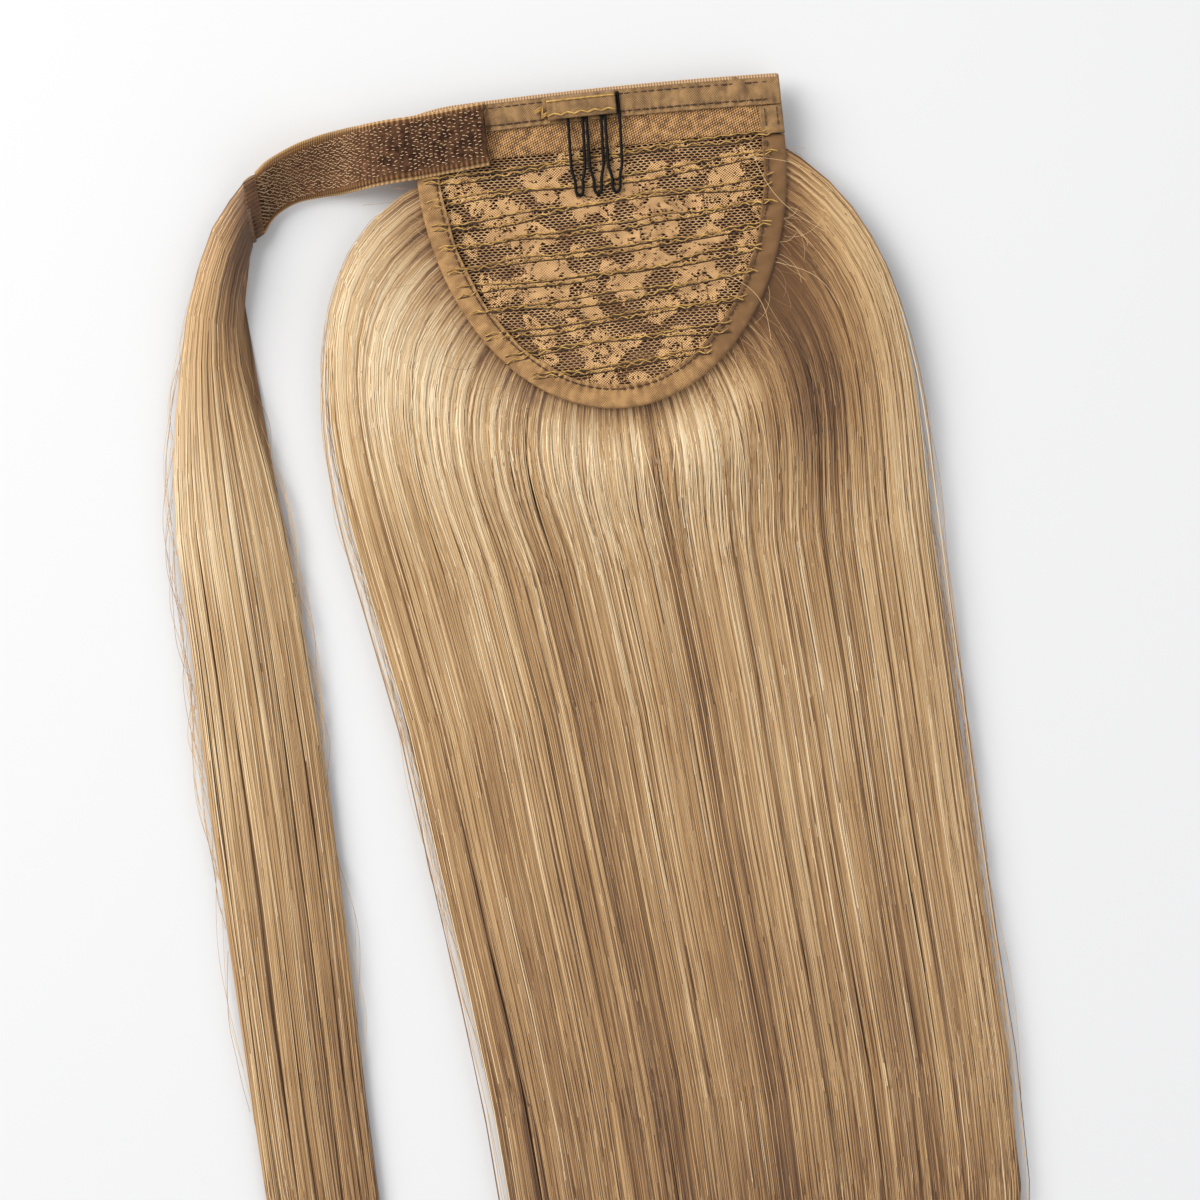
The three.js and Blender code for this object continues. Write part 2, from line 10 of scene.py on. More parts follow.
import bmesh
import bpy
import numpy as np
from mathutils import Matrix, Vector


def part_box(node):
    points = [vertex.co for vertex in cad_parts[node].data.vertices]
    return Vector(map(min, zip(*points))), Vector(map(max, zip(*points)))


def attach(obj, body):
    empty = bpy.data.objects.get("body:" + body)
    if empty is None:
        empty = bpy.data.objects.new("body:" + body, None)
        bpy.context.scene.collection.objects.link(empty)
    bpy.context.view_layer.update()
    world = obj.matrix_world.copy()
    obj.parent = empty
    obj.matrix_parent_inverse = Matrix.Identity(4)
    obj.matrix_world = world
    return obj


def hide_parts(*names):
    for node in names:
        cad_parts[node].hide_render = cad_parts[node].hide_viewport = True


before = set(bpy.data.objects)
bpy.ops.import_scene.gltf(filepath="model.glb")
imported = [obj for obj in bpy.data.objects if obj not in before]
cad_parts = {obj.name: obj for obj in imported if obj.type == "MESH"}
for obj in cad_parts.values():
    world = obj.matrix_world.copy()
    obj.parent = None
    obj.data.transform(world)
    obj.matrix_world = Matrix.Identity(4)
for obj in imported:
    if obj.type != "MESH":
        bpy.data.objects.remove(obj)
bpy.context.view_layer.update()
MM = 0.001
print("solids:", sorted(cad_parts))

# %% [markdown]
# ## The measures
# The base is a U: straight sides, then half an ellipse. Its middle surface is one gentle slope.
# Widths and places come from the loaded solids, so a piece made here can't drift away from the
# one it stands for. Points are written as x from the base's middle line, y from its upper edge.

# %% Measures of the base
band_low, band_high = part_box("top_band")
binding_low, binding_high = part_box("edge_binding")
CAP_X = (band_low.x + band_high.x) / 2
TOP_Y = band_high.y
HALF_WIDTH = (band_high.x - band_low.x) / 2
CAP_DEPTH = TOP_Y - binding_low.y
CAP_STRAIGHT = 20 * MM
CAP_DROP = CAP_DEPTH - CAP_STRAIGHT
CAP_ARCH = 1.2 * MM
CORNER_FROM, CORNER_REACH, CORNER_DROP = 43 * MM, 14 * MM, 1.7 * MM
CAP_SLOPE = 0.09
TAPE_THICK = 3 * MM
BINDING_WIDTH = 7.2 * MM
BAND_WIDTH = 9.5 * MM
STRETCH_WIDTH = 9 * MM
GAP = 0.3 * MM
CAP_TOP_HEIGHT = binding_low.z + TAPE_THICK / 2 - CAP_SLOPE * (TOP_Y - binding_high.y)


def cap_height(y):
    """Height of the base's middle surface at y, measured from its upper edge."""
    return CAP_TOP_HEIGHT - CAP_SLOPE * y


def top_edge(x):
    """The upper edge sags a little towards both corners, and the left corner is rounded off."""
    corner = np.clip((-x - CORNER_FROM) / CORNER_REACH, 0, 1)
    return -CAP_ARCH * (x / HALF_WIDTH) ** 2 - CORNER_DROP * corner ** 2


def placed(points):
    """Moves points from the base's own frame to the frame of the solids."""
    return np.asarray(points, float) + np.array([CAP_X, TOP_Y, 0.0])


def joined(x, y, z):
    """Points from separate x, y and z. Each is an array or one number."""
    return np.stack(np.broadcast_arrays(x, y, z), -1)


print("base: %.1f by %.1f mm, %.1f mm high at its upper edge"
      % (2 * HALF_WIDTH / MM, CAP_DEPTH / MM, CAP_TOP_HEIGHT / MM))

# %% [markdown]
# ## The rim
# Everything sewn to the base follows its rim. One function gives the rim's point and its outward
# direction for a turn of 0 to 180 degrees, from the left side round the lower end to the right.
# The helpers below it ease one value into another and draw a smooth curve through a short table.

# %% Rim of the base and smooth curves
def rim(turn, inset=0.0, rise=0.0):
    """Points and outward directions of the rim. turn is in degrees, and arrays are welcome."""
    angle = np.radians(turn)
    across = -np.cos(angle)
    down = np.sin(angle)
    out_x, out_y = across / HALF_WIDTH, -down / CAP_DROP
    length = np.hypot(out_x, out_y)
    out_x, out_y = out_x / length, out_y / length
    x = across * HALF_WIDTH - out_x * inset
    y = rise - CAP_STRAIGHT - down * CAP_DROP - out_y * inset
    return x, y, out_x, out_y


def smooth(share):
    """0 below 0, 1 above 1, and an easy step between."""
    held = np.clip(share, 0, 1)
    return held * held * (3 - 2 * held)


def mix(low, high, share):
    return low + (high - low) * share


def bell(value, middle, width):
    """1 at the middle, falling to nothing on both sides."""
    return np.exp(-((value - middle) / width) ** 2)


def cubic(t):
    """The weights of a cubic piece: its start, the start's pull, its end and the end's pull."""
    return (1 + 2 * t) * (1 - t) ** 2, t * (1 - t) ** 2, t * t * (3 - 2 * t), t * t * (t - 1)


def through(value, keys, table):
    """A smooth curve through a short table: cubic pieces with the slopes of their neighbours."""
    keys, table = np.asarray(keys, float), np.asarray(table, float)
    slopes = np.gradient(table, keys)
    value = np.clip(value, keys[0], keys[-1])
    index = np.clip(np.searchsorted(keys, value) - 1, 0, len(keys) - 2)
    span = keys[index + 1] - keys[index]
    start, pull, end, hold = cubic((value - keys[index]) / span)
    first = start * table[index] + pull * span * slopes[index]
    return first + (end * table[index + 1] + hold * span * slopes[index + 1])


def run_along(x, y):
    """Length along a path, up to each of its points."""
    return np.concatenate([[0], np.cumsum(np.hypot(np.diff(x), np.diff(y)))])


# %% [markdown]
# ## The camera
# The picture is taken straight down, with the piece turned a few degrees clockwise. A long lens
# far away keeps the sides of the hair upright. The camera comes first, because every later step
# is judged through it.

# %% Camera
MM_PER_PIXEL = 0.31
PICTURE_WIDTH = 1200 * MM_PER_PIXEL * MM
PICTURE_TURN = math.radians(6)
LENS, SENSOR = 85.0, 36.0
LOOK_AT = placed([(-14.6 * MM, -157.9 * MM, 10 * MM)])[0]


def put(name, data):
    """Adds an object to the scene."""
    added = bpy.data.objects.new(name, data)
    bpy.context.scene.collection.objects.link(added)
    return added


camera_data = bpy.data.cameras.new("camera")
camera_data.lens = LENS
camera_data.sensor_width = SENSOR
camera = put("camera", camera_data)
camera_distance = PICTURE_WIDTH * LENS / SENSOR
camera.location = (LOOK_AT[0], LOOK_AT[1], LOOK_AT[2] + camera_distance)
camera.rotation_euler = (0, 0, -PICTURE_TURN)
bpy.context.scene.camera = camera
print("camera %.2f m above the piece" % camera_distance)

# %% [markdown]
# ## Light
# Product pictures of hair are lit by one broad soft source at the upper left, so every strand
# carries a long highlight and the shadows fall softly to the lower right. A weak second source
# opens those shadows, and the world adds a low even light.

# %% Light
WORLD_COLOR, WORLD_STRENGTH = (0.93, 0.95, 1.0, 1), 0.5


def soft_light(name, place, size, watts, tint):
    data = bpy.data.lights.new(name, "AREA")
    data.shape = "SQUARE"
    data.size = size
    data.energy = watts
    data.color = tint
    lamp = put(name, data)
    lamp.location = place
    aim = Vector(LOOK_AT) - Vector(place)
    lamp.rotation_euler = aim.to_track_quat("-Z", "Y").to_euler()


soft_light("key_light", (-1.5, 1.05, 1.5), 1.9, 65, (1.0, 0.985, 0.96))
soft_light("fill_light", (1.0, -0.5, 1.1), 1.6, 7, (0.97, 0.985, 1.0))
world = bpy.data.worlds.new("world")
bpy.context.scene.world = world
world.use_nodes = True
world_light = world.node_tree.nodes["Background"]
world_light.inputs["Color"].default_value = WORLD_COLOR
world_light.inputs["Strength"].default_value = WORLD_STRENGTH
bpy.context.scene.view_settings.view_transform = "Standard"

# %% [markdown]
# ## Shader maths
# Materials read better as arithmetic than as a web of nodes. A small class wraps a socket, so
# that adding or multiplying two of them adds the Math node. One method makes any other node.

# %% A socket that takes part in arithmetic
class Flow:
    """A number that varies over a surface."""

    def __init__(self, tree, socket):
        self.tree = tree
        self.socket = socket

    def join(self, operation, other=None, swapped=False, clamped=False):
        node = self.tree.nodes.new("ShaderNodeMath")
        node.operation = operation
        node.use_clamp = clamped
        terms = [other, self] if swapped else [self, other]
        for place, term in zip(node.inputs, terms):
            if isinstance(term, Flow):
                self.tree.links.new(term.socket, place)
            elif term is not None:
                place.default_value = term
        return Flow(self.tree, node.outputs[0])

    def __add__(self, other):
        return self.join("ADD", other)

    def __sub__(self, other):
        return self.join("SUBTRACT", other)

    def __rsub__(self, other):
        return self.join("SUBTRACT", other, swapped=True)

    def __mul__(self, other):
        return self.join("MULTIPLY", other)

    __radd__ = __add__
    __rmul__ = __mul__

    def wave(self, pitch):
        """A sine that repeats once a pitch."""
        return (self * (2 * math.pi / pitch)).join("SINE")

    def held(self):
        """The same number, kept between 0 and 1."""
        return self.join("ADD", 0.0, clamped=True)


# %% A finish, with one method for every other node
def linear(red, green, blue):
    """A colour given as on a screen, 0 to 255, as the linear numbers that a shader takes."""
    share = np.array([red, green, blue]) / 255
    low = share / 12.92
    high = ((share + 0.055) / 1.055) ** 2.4
    return (*np.where(share <= 0.04045, low, high).tolist(), 1.0)


class Finish:
    """A material under construction."""

    def __init__(self, name, roughness, **constants):
        self.material = bpy.data.materials.new(name)
        self.material.use_nodes = True
        self.tree = self.material.node_tree
        self.shader = self.tree.nodes["Principled BSDF"]
        self.shader.inputs["Roughness"].default_value = roughness
        for key, value in constants.items():
            self.shader.inputs[key.replace("_", " ")].default_value = value

    def feed(self, place, value):
        if isinstance(value, Flow):
            self.tree.links.new(value.socket, place)
        else:
            place.default_value = value

    def node(self, kind, settings=None, values=None, out=0):
        made = self.tree.nodes.new("ShaderNode" + kind)
        for key, value in (settings or {}).items():
            if key == "stops":
                ramp = made.color_ramp
                while len(ramp.elements) < len(value):
                    ramp.elements.new(0.5)
                for element, (place, color) in zip(ramp.elements, value):
                    element.position = place
                    element.color = color
            else:
                setattr(made, key, value)
        for key, value in (values or {}).items():
            self.feed(made.inputs[key], value)
        return Flow(self.tree, made.outputs[out])

    def place(self, scale=(1, 1, 1), turn=0.0):
        point = self.node("TexCoord", out="Object")
        return self.node("Mapping", values={
            "Vector": point, "Scale": scale, "Rotation": (0, 0, turn)})

    def own(self, name):
        """A number that the points of the piece carry."""
        return self.node("Attribute", {"attribute_name": name}, out="Fac")

    def axis(self, vector, letter):
        return self.node("SeparateXYZ", values={"Vector": vector}, out=letter)

    def noise(self, vector, scale, detail=2.0):
        return self.node("TexNoise", values={
            "Vector": vector, "Scale": scale, "Detail": detail}, out="Fac")

    def ramp(self, amount, *stops):
        return self.node("ValToRGB", {"stops": stops}, {"Fac": amount})

    def blend(self, amount, first, second):
        values = {0: amount, 6: first, 7: second}
        return self.node("Mix", {"data_type": "RGBA"}, values, out=2)

    def color(self, value):
        self.feed(self.shader.inputs["Base Color"], value)

    def bump(self, height, strength, distance):
        made = self.node("Bump", values={
            "Height": height, "Strength": strength, "Distance": distance})
        self.feed(self.shader.inputs["Normal"], made)


# %% [markdown]
# ## The floor
# The table is one plain pale sheet, wide enough to fill every view. It isn't counted as a part of
# the piece.

# %% Floor
FLOOR_HALF = 1.6
floor_finish = Finish("pale_floor", 0.75)
floor_finish.color((0.74, 0.74, 0.737, 1))
floor_mesh = bpy.data.meshes.new("floor")
floor_corners = [(-1, -1), (1, -1), (1, 1), (-1, 1)]
floor_points = [(x * FLOOR_HALF, y * FLOOR_HALF, 0) for x, y in floor_corners]
floor_mesh.from_pydata(floor_points, [], [(0, 1, 2, 3)])
floor_mesh.materials.append(floor_finish.material)
floor = put("floor", floor_mesh)

# %% [markdown]
# ## Strands by Geometry Nodes
# A strand is a line of points with a thickness. The lines are worked out with numpy, and one node
# tree turns each into a thin closed tube with three sides, which is enough for something thinner
# than a pixel. The same tree makes the threads of the net and the wire of the comb. Its inputs
# are the number of sides, a factor on the thickness and the finish.

# %% A short way to write node trees
class Recipe:
    """A geometry node tree with named inputs."""

    def __init__(self, name, **inputs):
        self.tree = bpy.data.node_groups.new(name, "GeometryNodeTree")
        face = self.tree.interface
        for label, kind in inputs.items():
            face.new_socket(label, in_out="INPUT", socket_type="NodeSocket" + kind)
        face.new_socket("Geometry", in_out="OUTPUT", socket_type="NodeSocketGeometry")
        self.given = self.tree.nodes.new("NodeGroupInput").outputs

    def node(self, kind, values=None, out=0, **settings):
        """Adds a node, with its settings first, and gives its output."""
        made = self.tree.nodes.new(kind)
        for key, value in settings.items():
            setattr(made, key, value)
        for key, value in (values or {}).items():
            if isinstance(value, bpy.types.NodeSocket):
                self.tree.links.new(value, made.inputs[key])
            else:
                made.inputs[key].default_value = value
        return made.outputs[out]

    def close(self, shape):
        """Ends the tree with plain, painted geometry."""
        real = self.node("GeometryNodeRealizeInstances", {"Geometry": shape})
        paint = {"Geometry": real, "Material": self.given["Material"]}
        painted = self.node("GeometryNodeSetMaterial", paint)
        self.tree.links.new(painted, self.tree.nodes.new("NodeGroupOutput").inputs["Geometry"])
        return self.tree


def socket_name(tree, label):
    for item in tree.interface.items_tree:
        if item.name == label and item.in_out == "INPUT":
            return item.identifier
    raise KeyError(label)


def grown(source, tree, **inputs):
    """Runs a node tree on an object and keeps the result as its plain mesh."""
    modifier = source.modifiers.new("nodes", "NODES")
    modifier.node_group = tree
    for label, value in inputs.items():
        modifier[socket_name(tree, label)] = value
    seen = bpy.context.evaluated_depsgraph_get()
    mesh = bpy.data.meshes.new_from_object(source.evaluated_get(seen))
    source.modifiers.remove(modifier)
    source.data = mesh
    mesh.name = source.name


# %% The tree that gives lines a thickness
def thread_recipe():
    recipe = Recipe("threads_from_lines", Geometry="Geometry", Sides="Int", Thickness="Float",
                    Material="Material")
    given = recipe.given
    curve = recipe.node("GeometryNodeMeshToCurve", {"Mesh": given["Geometry"]})
    girth = recipe.node("GeometryNodeInputNamedAttribute", {"Name": "girth"}, data_type="FLOAT")
    scale = recipe.node("ShaderNodeMath", {0: girth, 1: given["Thickness"]}, operation="MULTIPLY")
    circle = recipe.node("GeometryNodeCurvePrimitiveCircle",
                         {"Resolution": given["Sides"], "Radius": 1.0})
    return recipe.close(recipe.node("GeometryNodeCurveToMesh", {
        "Curve": curve, "Profile Curve": circle, "Scale": scale, "Fill Caps": True}))


THREAD_TREE = thread_recipe()


# %% Threads as pieces, and how every piece is sewn on
def triangles(piece):
    return sum(len(face.vertices) - 2 for face in piece.data.polygons)


def carry(mesh, shape, **numbers):
    """Gives the points of a mesh numbers of their own, for node trees and finishes to read."""
    for key, value in numbers.items():
        layer = mesh.attributes.new(key, "FLOAT", "POINT")
        layer.data.foreach_set("value", np.broadcast_to(value, shape).reshape(-1).copy())


def tubes(name, points, edges, girth, finish, sides=3, rounded=True, **numbers):
    """Closed tubes along edges. points are in the base's frame, and girth is in metres."""
    mesh = bpy.data.meshes.new(name)
    mesh.vertices.add(points.size // 3)
    mesh.vertices.foreach_set("co", placed(points).reshape(-1))
    mesh.edges.add(len(edges))
    mesh.edges.foreach_set("vertices", edges.reshape(-1))
    carry(mesh, points.shape[:-1], girth=girth, **numbers)
    piece = put(name, mesh)
    grown(piece, THREAD_TREE, Sides=sides, Thickness=1.0, Material=finish.material)
    if rounded:
        piece.data.shade_smooth()
    print("%s: %d bits of thread, %d triangles" % (name, len(edges), triangles(piece)))
    return piece


def threads(name, lines, girth, finish, sides=3, **numbers):
    """Tubes along lines. lines is an array of strands, points and x, y, z."""
    strands, points, _ = lines.shape
    start = np.arange(strands)[:, None] * points + np.arange(points - 1)[None, :]
    edges = np.stack([start, start + 1], axis=-1).reshape(-1, 2)
    return tubes(name, lines, edges, girth, finish, sides, **numbers)


def sewn(piece, node):
    """Every piece rides on the one body and stands for its solid."""
    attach(piece, "root")
    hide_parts(node)
    return piece


# %% [markdown]
# ## How the hair falls
# Hair leaves the rim square to it, bends downwards and joins one wide fall. The same few rows as
# in the solids say where the sides of the fall lie. share runs from the left side of the hair to
# the right, and along from the root to the tips.

# %% The field of the main hair
hair_low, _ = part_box("hair_fall")
HAIR_WIDTH = 174 * MM
HAIR_HEIGHT = 16.5 * MM
HAIR_FALL = (TOP_Y - CAP_DEPTH) - hair_low.y
ROOT_TURN = 3.0
ROOT_LEAN = (0.35, 0.7)
ROOT_PULL, GATHER_PULL = 1.15, 0.95
ARC_SHARE = 0.4
FALL_DOWN = (0.163, 0.327, 0.49, 0.654, 0.817, 1.0)
FALL_LEFT = (-0.49, -0.44, -0.41, -0.372, -0.353, -0.322)
FALL_RIGHT = (0.52, 0.53, 0.539, 0.556, 0.559, 0.529)
HEIGHT_ALONG = (0, 0.06, 0.12, 0.3, 0.5, 0.75, 0.93, 1.0)
HEIGHT_SHARE = (0.92, 1.02, 1.04, 0.8, 0.62, 0.5, 0.36, 0.14)
GATHER = FALL_DOWN[0]
GATHER_STEP = 0.08
DIP_PLACE, DIP_WIDTH, DIP_DEPTH = 0.84, 0.08, 0.22


def root_turn(share):
    return mix(ROOT_TURN, 180 - ROOT_TURN, np.clip(share, 0, 1))


def fall_row(share, down):
    left = through(down, FALL_DOWN, FALL_LEFT) * HAIR_WIDTH
    right = through(down, FALL_DOWN, FALL_RIGHT) * HAIR_WIDTH
    return mix(left, right, share), -CAP_DEPTH - down * HAIR_FALL


def hair_plan(share, along):
    """x and y of the hair: an arc from the rim to the gathering row, then the fall below it."""
    root_x, root_y, away_x, away_y = rim(root_turn(share))
    away_y = away_y - mix(ROOT_LEAN[0], ROOT_LEAN[1], share)
    length = np.hypot(away_x, away_y)
    away_x, away_y = away_x / length, away_y / length
    end_x, end_y = fall_row(share, np.full_like(share, GATHER))
    next_x, next_y = fall_row(share, np.full_like(share, GATHER + GATHER_STEP))
    length = np.hypot(next_x - end_x, next_y - end_y)
    head_x, head_y = (next_x - end_x) / length, (next_y - end_y) / length
    span = np.hypot(end_x - root_x, end_y - root_y)
    start, pull, stop, hold = cubic(np.clip(along / ARC_SHARE, 0, 1))
    pull = pull * ROOT_PULL * span
    hold = hold * GATHER_PULL * span
    x = start * root_x + pull * away_x + stop * end_x + hold * head_x
    y = start * root_y + pull * away_y + stop * end_y + hold * head_y
    down = mix(GATHER, 1, np.clip((along - ARC_SHARE) / (1 - ARC_SHARE), 0, 1.2))
    low_x, low_y = fall_row(share, down)
    below = along > ARC_SHARE
    inside = np.minimum(along, 0) * HAIR_FALL
    return np.where(below, low_x, x + inside * away_x), np.where(below, low_y, y + inside * away_y)


def hair_top(share, along):
    """Height of the hair's upper side: level with the base at the root, then its own crest."""
    _, root_y, _, _ = rim(root_turn(share))
    under = cap_height(root_y) - TAPE_THICK / 2 - 2 * GAP
    edge = 0.5 + 0.5 * np.sin(np.pi * np.clip(share, 0, 1)) ** 0.6
    dip = DIP_DEPTH * bell(share, DIP_PLACE, DIP_WIDTH) * (1 - smooth(along / ARC_SHARE))
    crest = through(along, HEIGHT_ALONG, HEIGHT_SHARE) * HAIR_HEIGHT * edge * (1 - dip)
    return mix(under, crest, smooth(along / 0.14))


print("hair falls %.0f mm below the base" % (HAIR_FALL / MM))

# %% [markdown]
# ## Colour of the hair
# Dark-blond hair isn't one colour: each strand lies somewhere between ash brown and light gold,
# and the mix makes the shine. Every strand carries its own tint as an attribute, and the ramp
# below turns it into a colour. The tint falls along each strand, so the hair gets darker towards its
# tips.

# %% Finish of the hair
HAIR_STOPS = [
    (0.0, linear(88, 58, 34)),
    (0.25, linear(146, 104, 62)),
    (0.55, linear(196, 154, 102)),
    (0.8, linear(228, 192, 140)),
    (1.0, linear(250, 228, 188)),
]
HAIR_GIRTH = 0.165 * MM
PATCH_SHARE, HAIR_LIGHTER = 0.22, 0.04

hair_finish = Finish("hair_strands", 0.36, Specular_IOR_Level=0.6, Sheen_Weight=0.1,
                     Sheen_Roughness=0.4)
hair_patch = hair_finish.noise(hair_finish.place(), 22.0, 1.0)
hair_amount = hair_finish.own("tint") + (hair_patch - 0.5) * PATCH_SHARE + HAIR_LIGHTER
hair_finish.color(hair_finish.ramp(hair_amount.held(), *HAIR_STOPS))

# %% [markdown]
# ## Locks and partings
# Brushed hair still gathers in locks with dark partings between them, wide ones that hold several
# narrow ones. Each strand is drawn a little towards the middle of its locks and shares their slow
# wander. A lock is highest in its middle, so its sides sink into the parting, and painted shade
# darkens their tint there.

# %% Locks, and the tint of a strand
def wander(random, rows, places, reach):
    """A slow random wave for each row: a few sines with random phases."""
    total = np.zeros((rows, len(places)))
    for waves in (0.7, 1.5, 2.6):
        phase = random.uniform(0, 2 * np.pi, (rows, 1))
        size = random.normal(0, 1, (rows, 1)) / waves
        total += size * np.sin(2 * np.pi * waves * places[None, :] / reach + phase)
    return total


def lock_places(seed, count, spill=0.3):
    random = np.random.default_rng(seed)
    return (np.arange(count) + 0.5 + random.uniform(-spill, spill, count)) / count


def nearest(share, middles):
    """The lock that a strand belongs to, and how far off its middle it lies, in lock widths."""
    lock = np.abs(share[:, None] - middles[None, :]).argmin(1)
    return lock, (share - middles[lock]) * len(middles)


LIGHT_PART, LIGHTER = 0.12, 0.26
DARK_PART, DARKER = 0.14, 0.34
TINT_SPREAD = 0.17


def strand_tints(random, strands, middle):
    """Most strands lie near the middle tint, and a few are much lighter or darker."""
    odd = random.uniform(0, 1, strands)
    jump = np.where(odd < LIGHT_PART, LIGHTER, 0.0) - np.where(odd > 1 - DARK_PART, DARKER, 0.0)
    return random.normal(middle, TINT_SPREAD, strands) + jump


# Painted shadow where the strands leave the rim, and a painted highlight just below it.
ROOT_SHADOW, ROOT_SHADOW_REACH = 0.75, 0.028
PAINTED_HIGHLIGHT, HIGHLIGHT_PLACE, HIGHLIGHT_WIDTH = 0.15, 0.14, 0.16


def shaded(tint, along, off):
    """Tint along a strand: painted shadow between locks at the root, a painted highlight just past it,
    and darker towards the tip.
    """
    root = ROOT_SHADOW * np.exp(-np.maximum(along, 0) / ROOT_SHADOW_REACH) * (0.5 + 3 * off[:, None] ** 2)
    light = PAINTED_HIGHLIGHT * bell(along, HIGHLIGHT_PLACE, HIGHLIGHT_WIDTH)
    return np.clip(tint[:, None] - root + light - 0.12 * along - 0.38 * along ** 2, 0.02, 1)


TIP_FROM, TIP_FINER = 0.85, 0.6


def strand_girth(along):
    """A strand gets finer towards its tip."""
    return HAIR_GIRTH * (1 - TIP_FINER * smooth((along - TIP_FROM) / (1 - TIP_FROM)))


# %% Strands of the main hair
WIDE_LOCKS = lock_places(11, 15, 0.42)
NARROW_LOCKS = lock_places(12, 104)
HAIR_START = -0.018
BEND_SHARE, BEND_END = 0.7, 0.43
BASE_SHADOW_PLACE, BASE_SHADOW_WIDTH, BASE_SHADOW_DEPTH = 0.83, 0.12, 0.76
STRAND_LOWEST = 0.25 * MM
WIDE_WAVE, NARROW_WAVE, OWN_WAVE = 0.0013, 0.0006, 0.0012
WIDE_DRAW, NARROW_DRAW = 0.02, 0.09
STRAY_PART, STRAY_REACH = 0.1, 0.016
SHORTER, LOCK_SHORTER = 0.05, 0.03
LOCK_HEIGHT, LOCK_UNEVEN, LOCK_TINT = 0.9, 0.45, 0.055
STRAND_TINT, WRAP_TINT = 0.72, 0.68
STRAND_SETS = [
    # name, seed, strands, points of each, how deep they may lie
    ("hair_strands_low", 1, 1080, 17, 0.5), ("hair_strands_mid", 2, 1600, 20, 0.2),
    ("hair_strands_top", 3, 1700, 20, 0.03)]


def hair_lines(seed, strands, points, depth):
    random = np.random.default_rng(seed)
    even = np.linspace(0, 1, points)
    share = (np.arange(strands) + random.uniform(0, 1, strands)) / strands
    wide, wide_off = nearest(share, WIDE_LOCKS)
    narrow, narrow_off = nearest(share, NARROW_LOCKS)
    fixed = np.random.default_rng(21)
    wide_wave = wander(fixed, len(WIDE_LOCKS), even, 1.0)[wide]
    narrow_wave = wander(fixed, len(NARROW_LOCKS), even, 0.8)[narrow]
    narrow_tint = fixed.normal(0, LOCK_TINT, len(NARROW_LOCKS))[narrow]
    narrow_level = fixed.uniform(-LOCK_UNEVEN, LOCK_UNEVEN, len(NARROW_LOCKS))[narrow]
    narrow_reach = fixed.uniform(0, LOCK_SHORTER, len(NARROW_LOCKS))[narrow]
    reach = 1 - SHORTER * random.uniform(0, 1, strands) ** 2 - narrow_reach
    bend = int(points * BEND_SHARE)
    below = np.linspace(BEND_END, 1, points - bend + 1)[1:]
    spread = np.concatenate([np.linspace(0, BEND_END, bend), below])
    along = HAIR_START + (reach[:, None] - HAIR_START) * spread[None, :]
    gate = smooth(along / 0.3)
    drawn = NARROW_DRAW * narrow_off[:, None] / len(NARROW_LOCKS)
    drawn = drawn + WIDE_DRAW * wide_off[:, None] / len(WIDE_LOCKS)
    own_wave = wander(random, strands, spread, 0.45) * OWN_WAVE
    stray = (random.uniform(0, 1, strands) < STRAY_PART) * random.normal(0, STRAY_REACH, strands)
    shift = wide_wave * WIDE_WAVE + narrow_wave * NARROW_WAVE + own_wave + stray[:, None] - drawn
    flow = share[:, None] + shift * gate
    x, y = hair_plan(flow, along)
    sink = random.uniform(0, 1, strands) ** 1.3 * depth
    high = hair_top(np.clip(flow, 0.001, 0.999), along)
    part = 0.7 * np.abs(wide_off) ** 2.5 + 0.9 * np.abs(narrow_off) ** 2
    relief = (LOCK_HEIGHT + narrow_level - part)[:, None] * MM * smooth((along - 0.01) / 0.1)
    z = high * (1 - sink[:, None] * gate * 0.8)
    z = z + relief * np.clip(high / HAIR_HEIGHT, 0.3, 1)
    z = np.maximum(z - sink[:, None] * 0.8 * MM, STRAND_LOWEST)
    # Deeper strands get a darker tint: painted shade inside the hair.
    tint = strand_tints(random, strands, STRAND_TINT) + narrow_tint - sink * 0.3
    # Painted shade darkens the sides of the wide locks in their partings, and painted light brightens
    # the fall's right edge.
    tint = tint - 0.6 * np.abs(wide_off) ** 3 + 0.12 * smooth((share - 0.92) / 0.05)
    # Painted shadow of the base: near the root, hair to the right of the base is darkened.
    shade = bell(flow, BASE_SHADOW_PLACE, BASE_SHADOW_WIDTH) * (1 - smooth((along - 0.05) / 0.42))
    tint = np.clip(shaded(tint, along, narrow_off) - BASE_SHADOW_DEPTH * shade, 0.02, 1)
    return joined(x, y, z), along, tint


for name, seed, count, points, depth in STRAND_SETS:
    lines, along, tint = hair_lines(seed, count, points, depth)
    strands = threads(name, lines, strand_girth(along), hair_finish, tint=tint)
    sewn(strands, "hair_fall")

# %% [markdown]
# ## Solid cores
# Loose strands let light through where they thin out. A core under them, in the place of the
# solid hair, stops that: one closed sheet over the fall and one slab of sewn wefts below the
# lace. The core is coloured darker than the strands, as painted shade in the gaps between them.
# A loft helper makes both, and most of the cloth pieces later.

# %% A loft: closed skin through rings of points
def keep(name, mesh, finish, rounded=True):
    mesh.materials.append(finish.material)
    tool = bmesh.new()
    tool.from_mesh(mesh)
    bmesh.ops.recalc_face_normals(tool, faces=tool.faces)
    tool.to_mesh(mesh)
    tool.free()
    piece = put(name, mesh)
    if rounded:
        piece.data.shade_smooth()
    print("%s: %d triangles" % (name, triangles(piece)))
    return piece


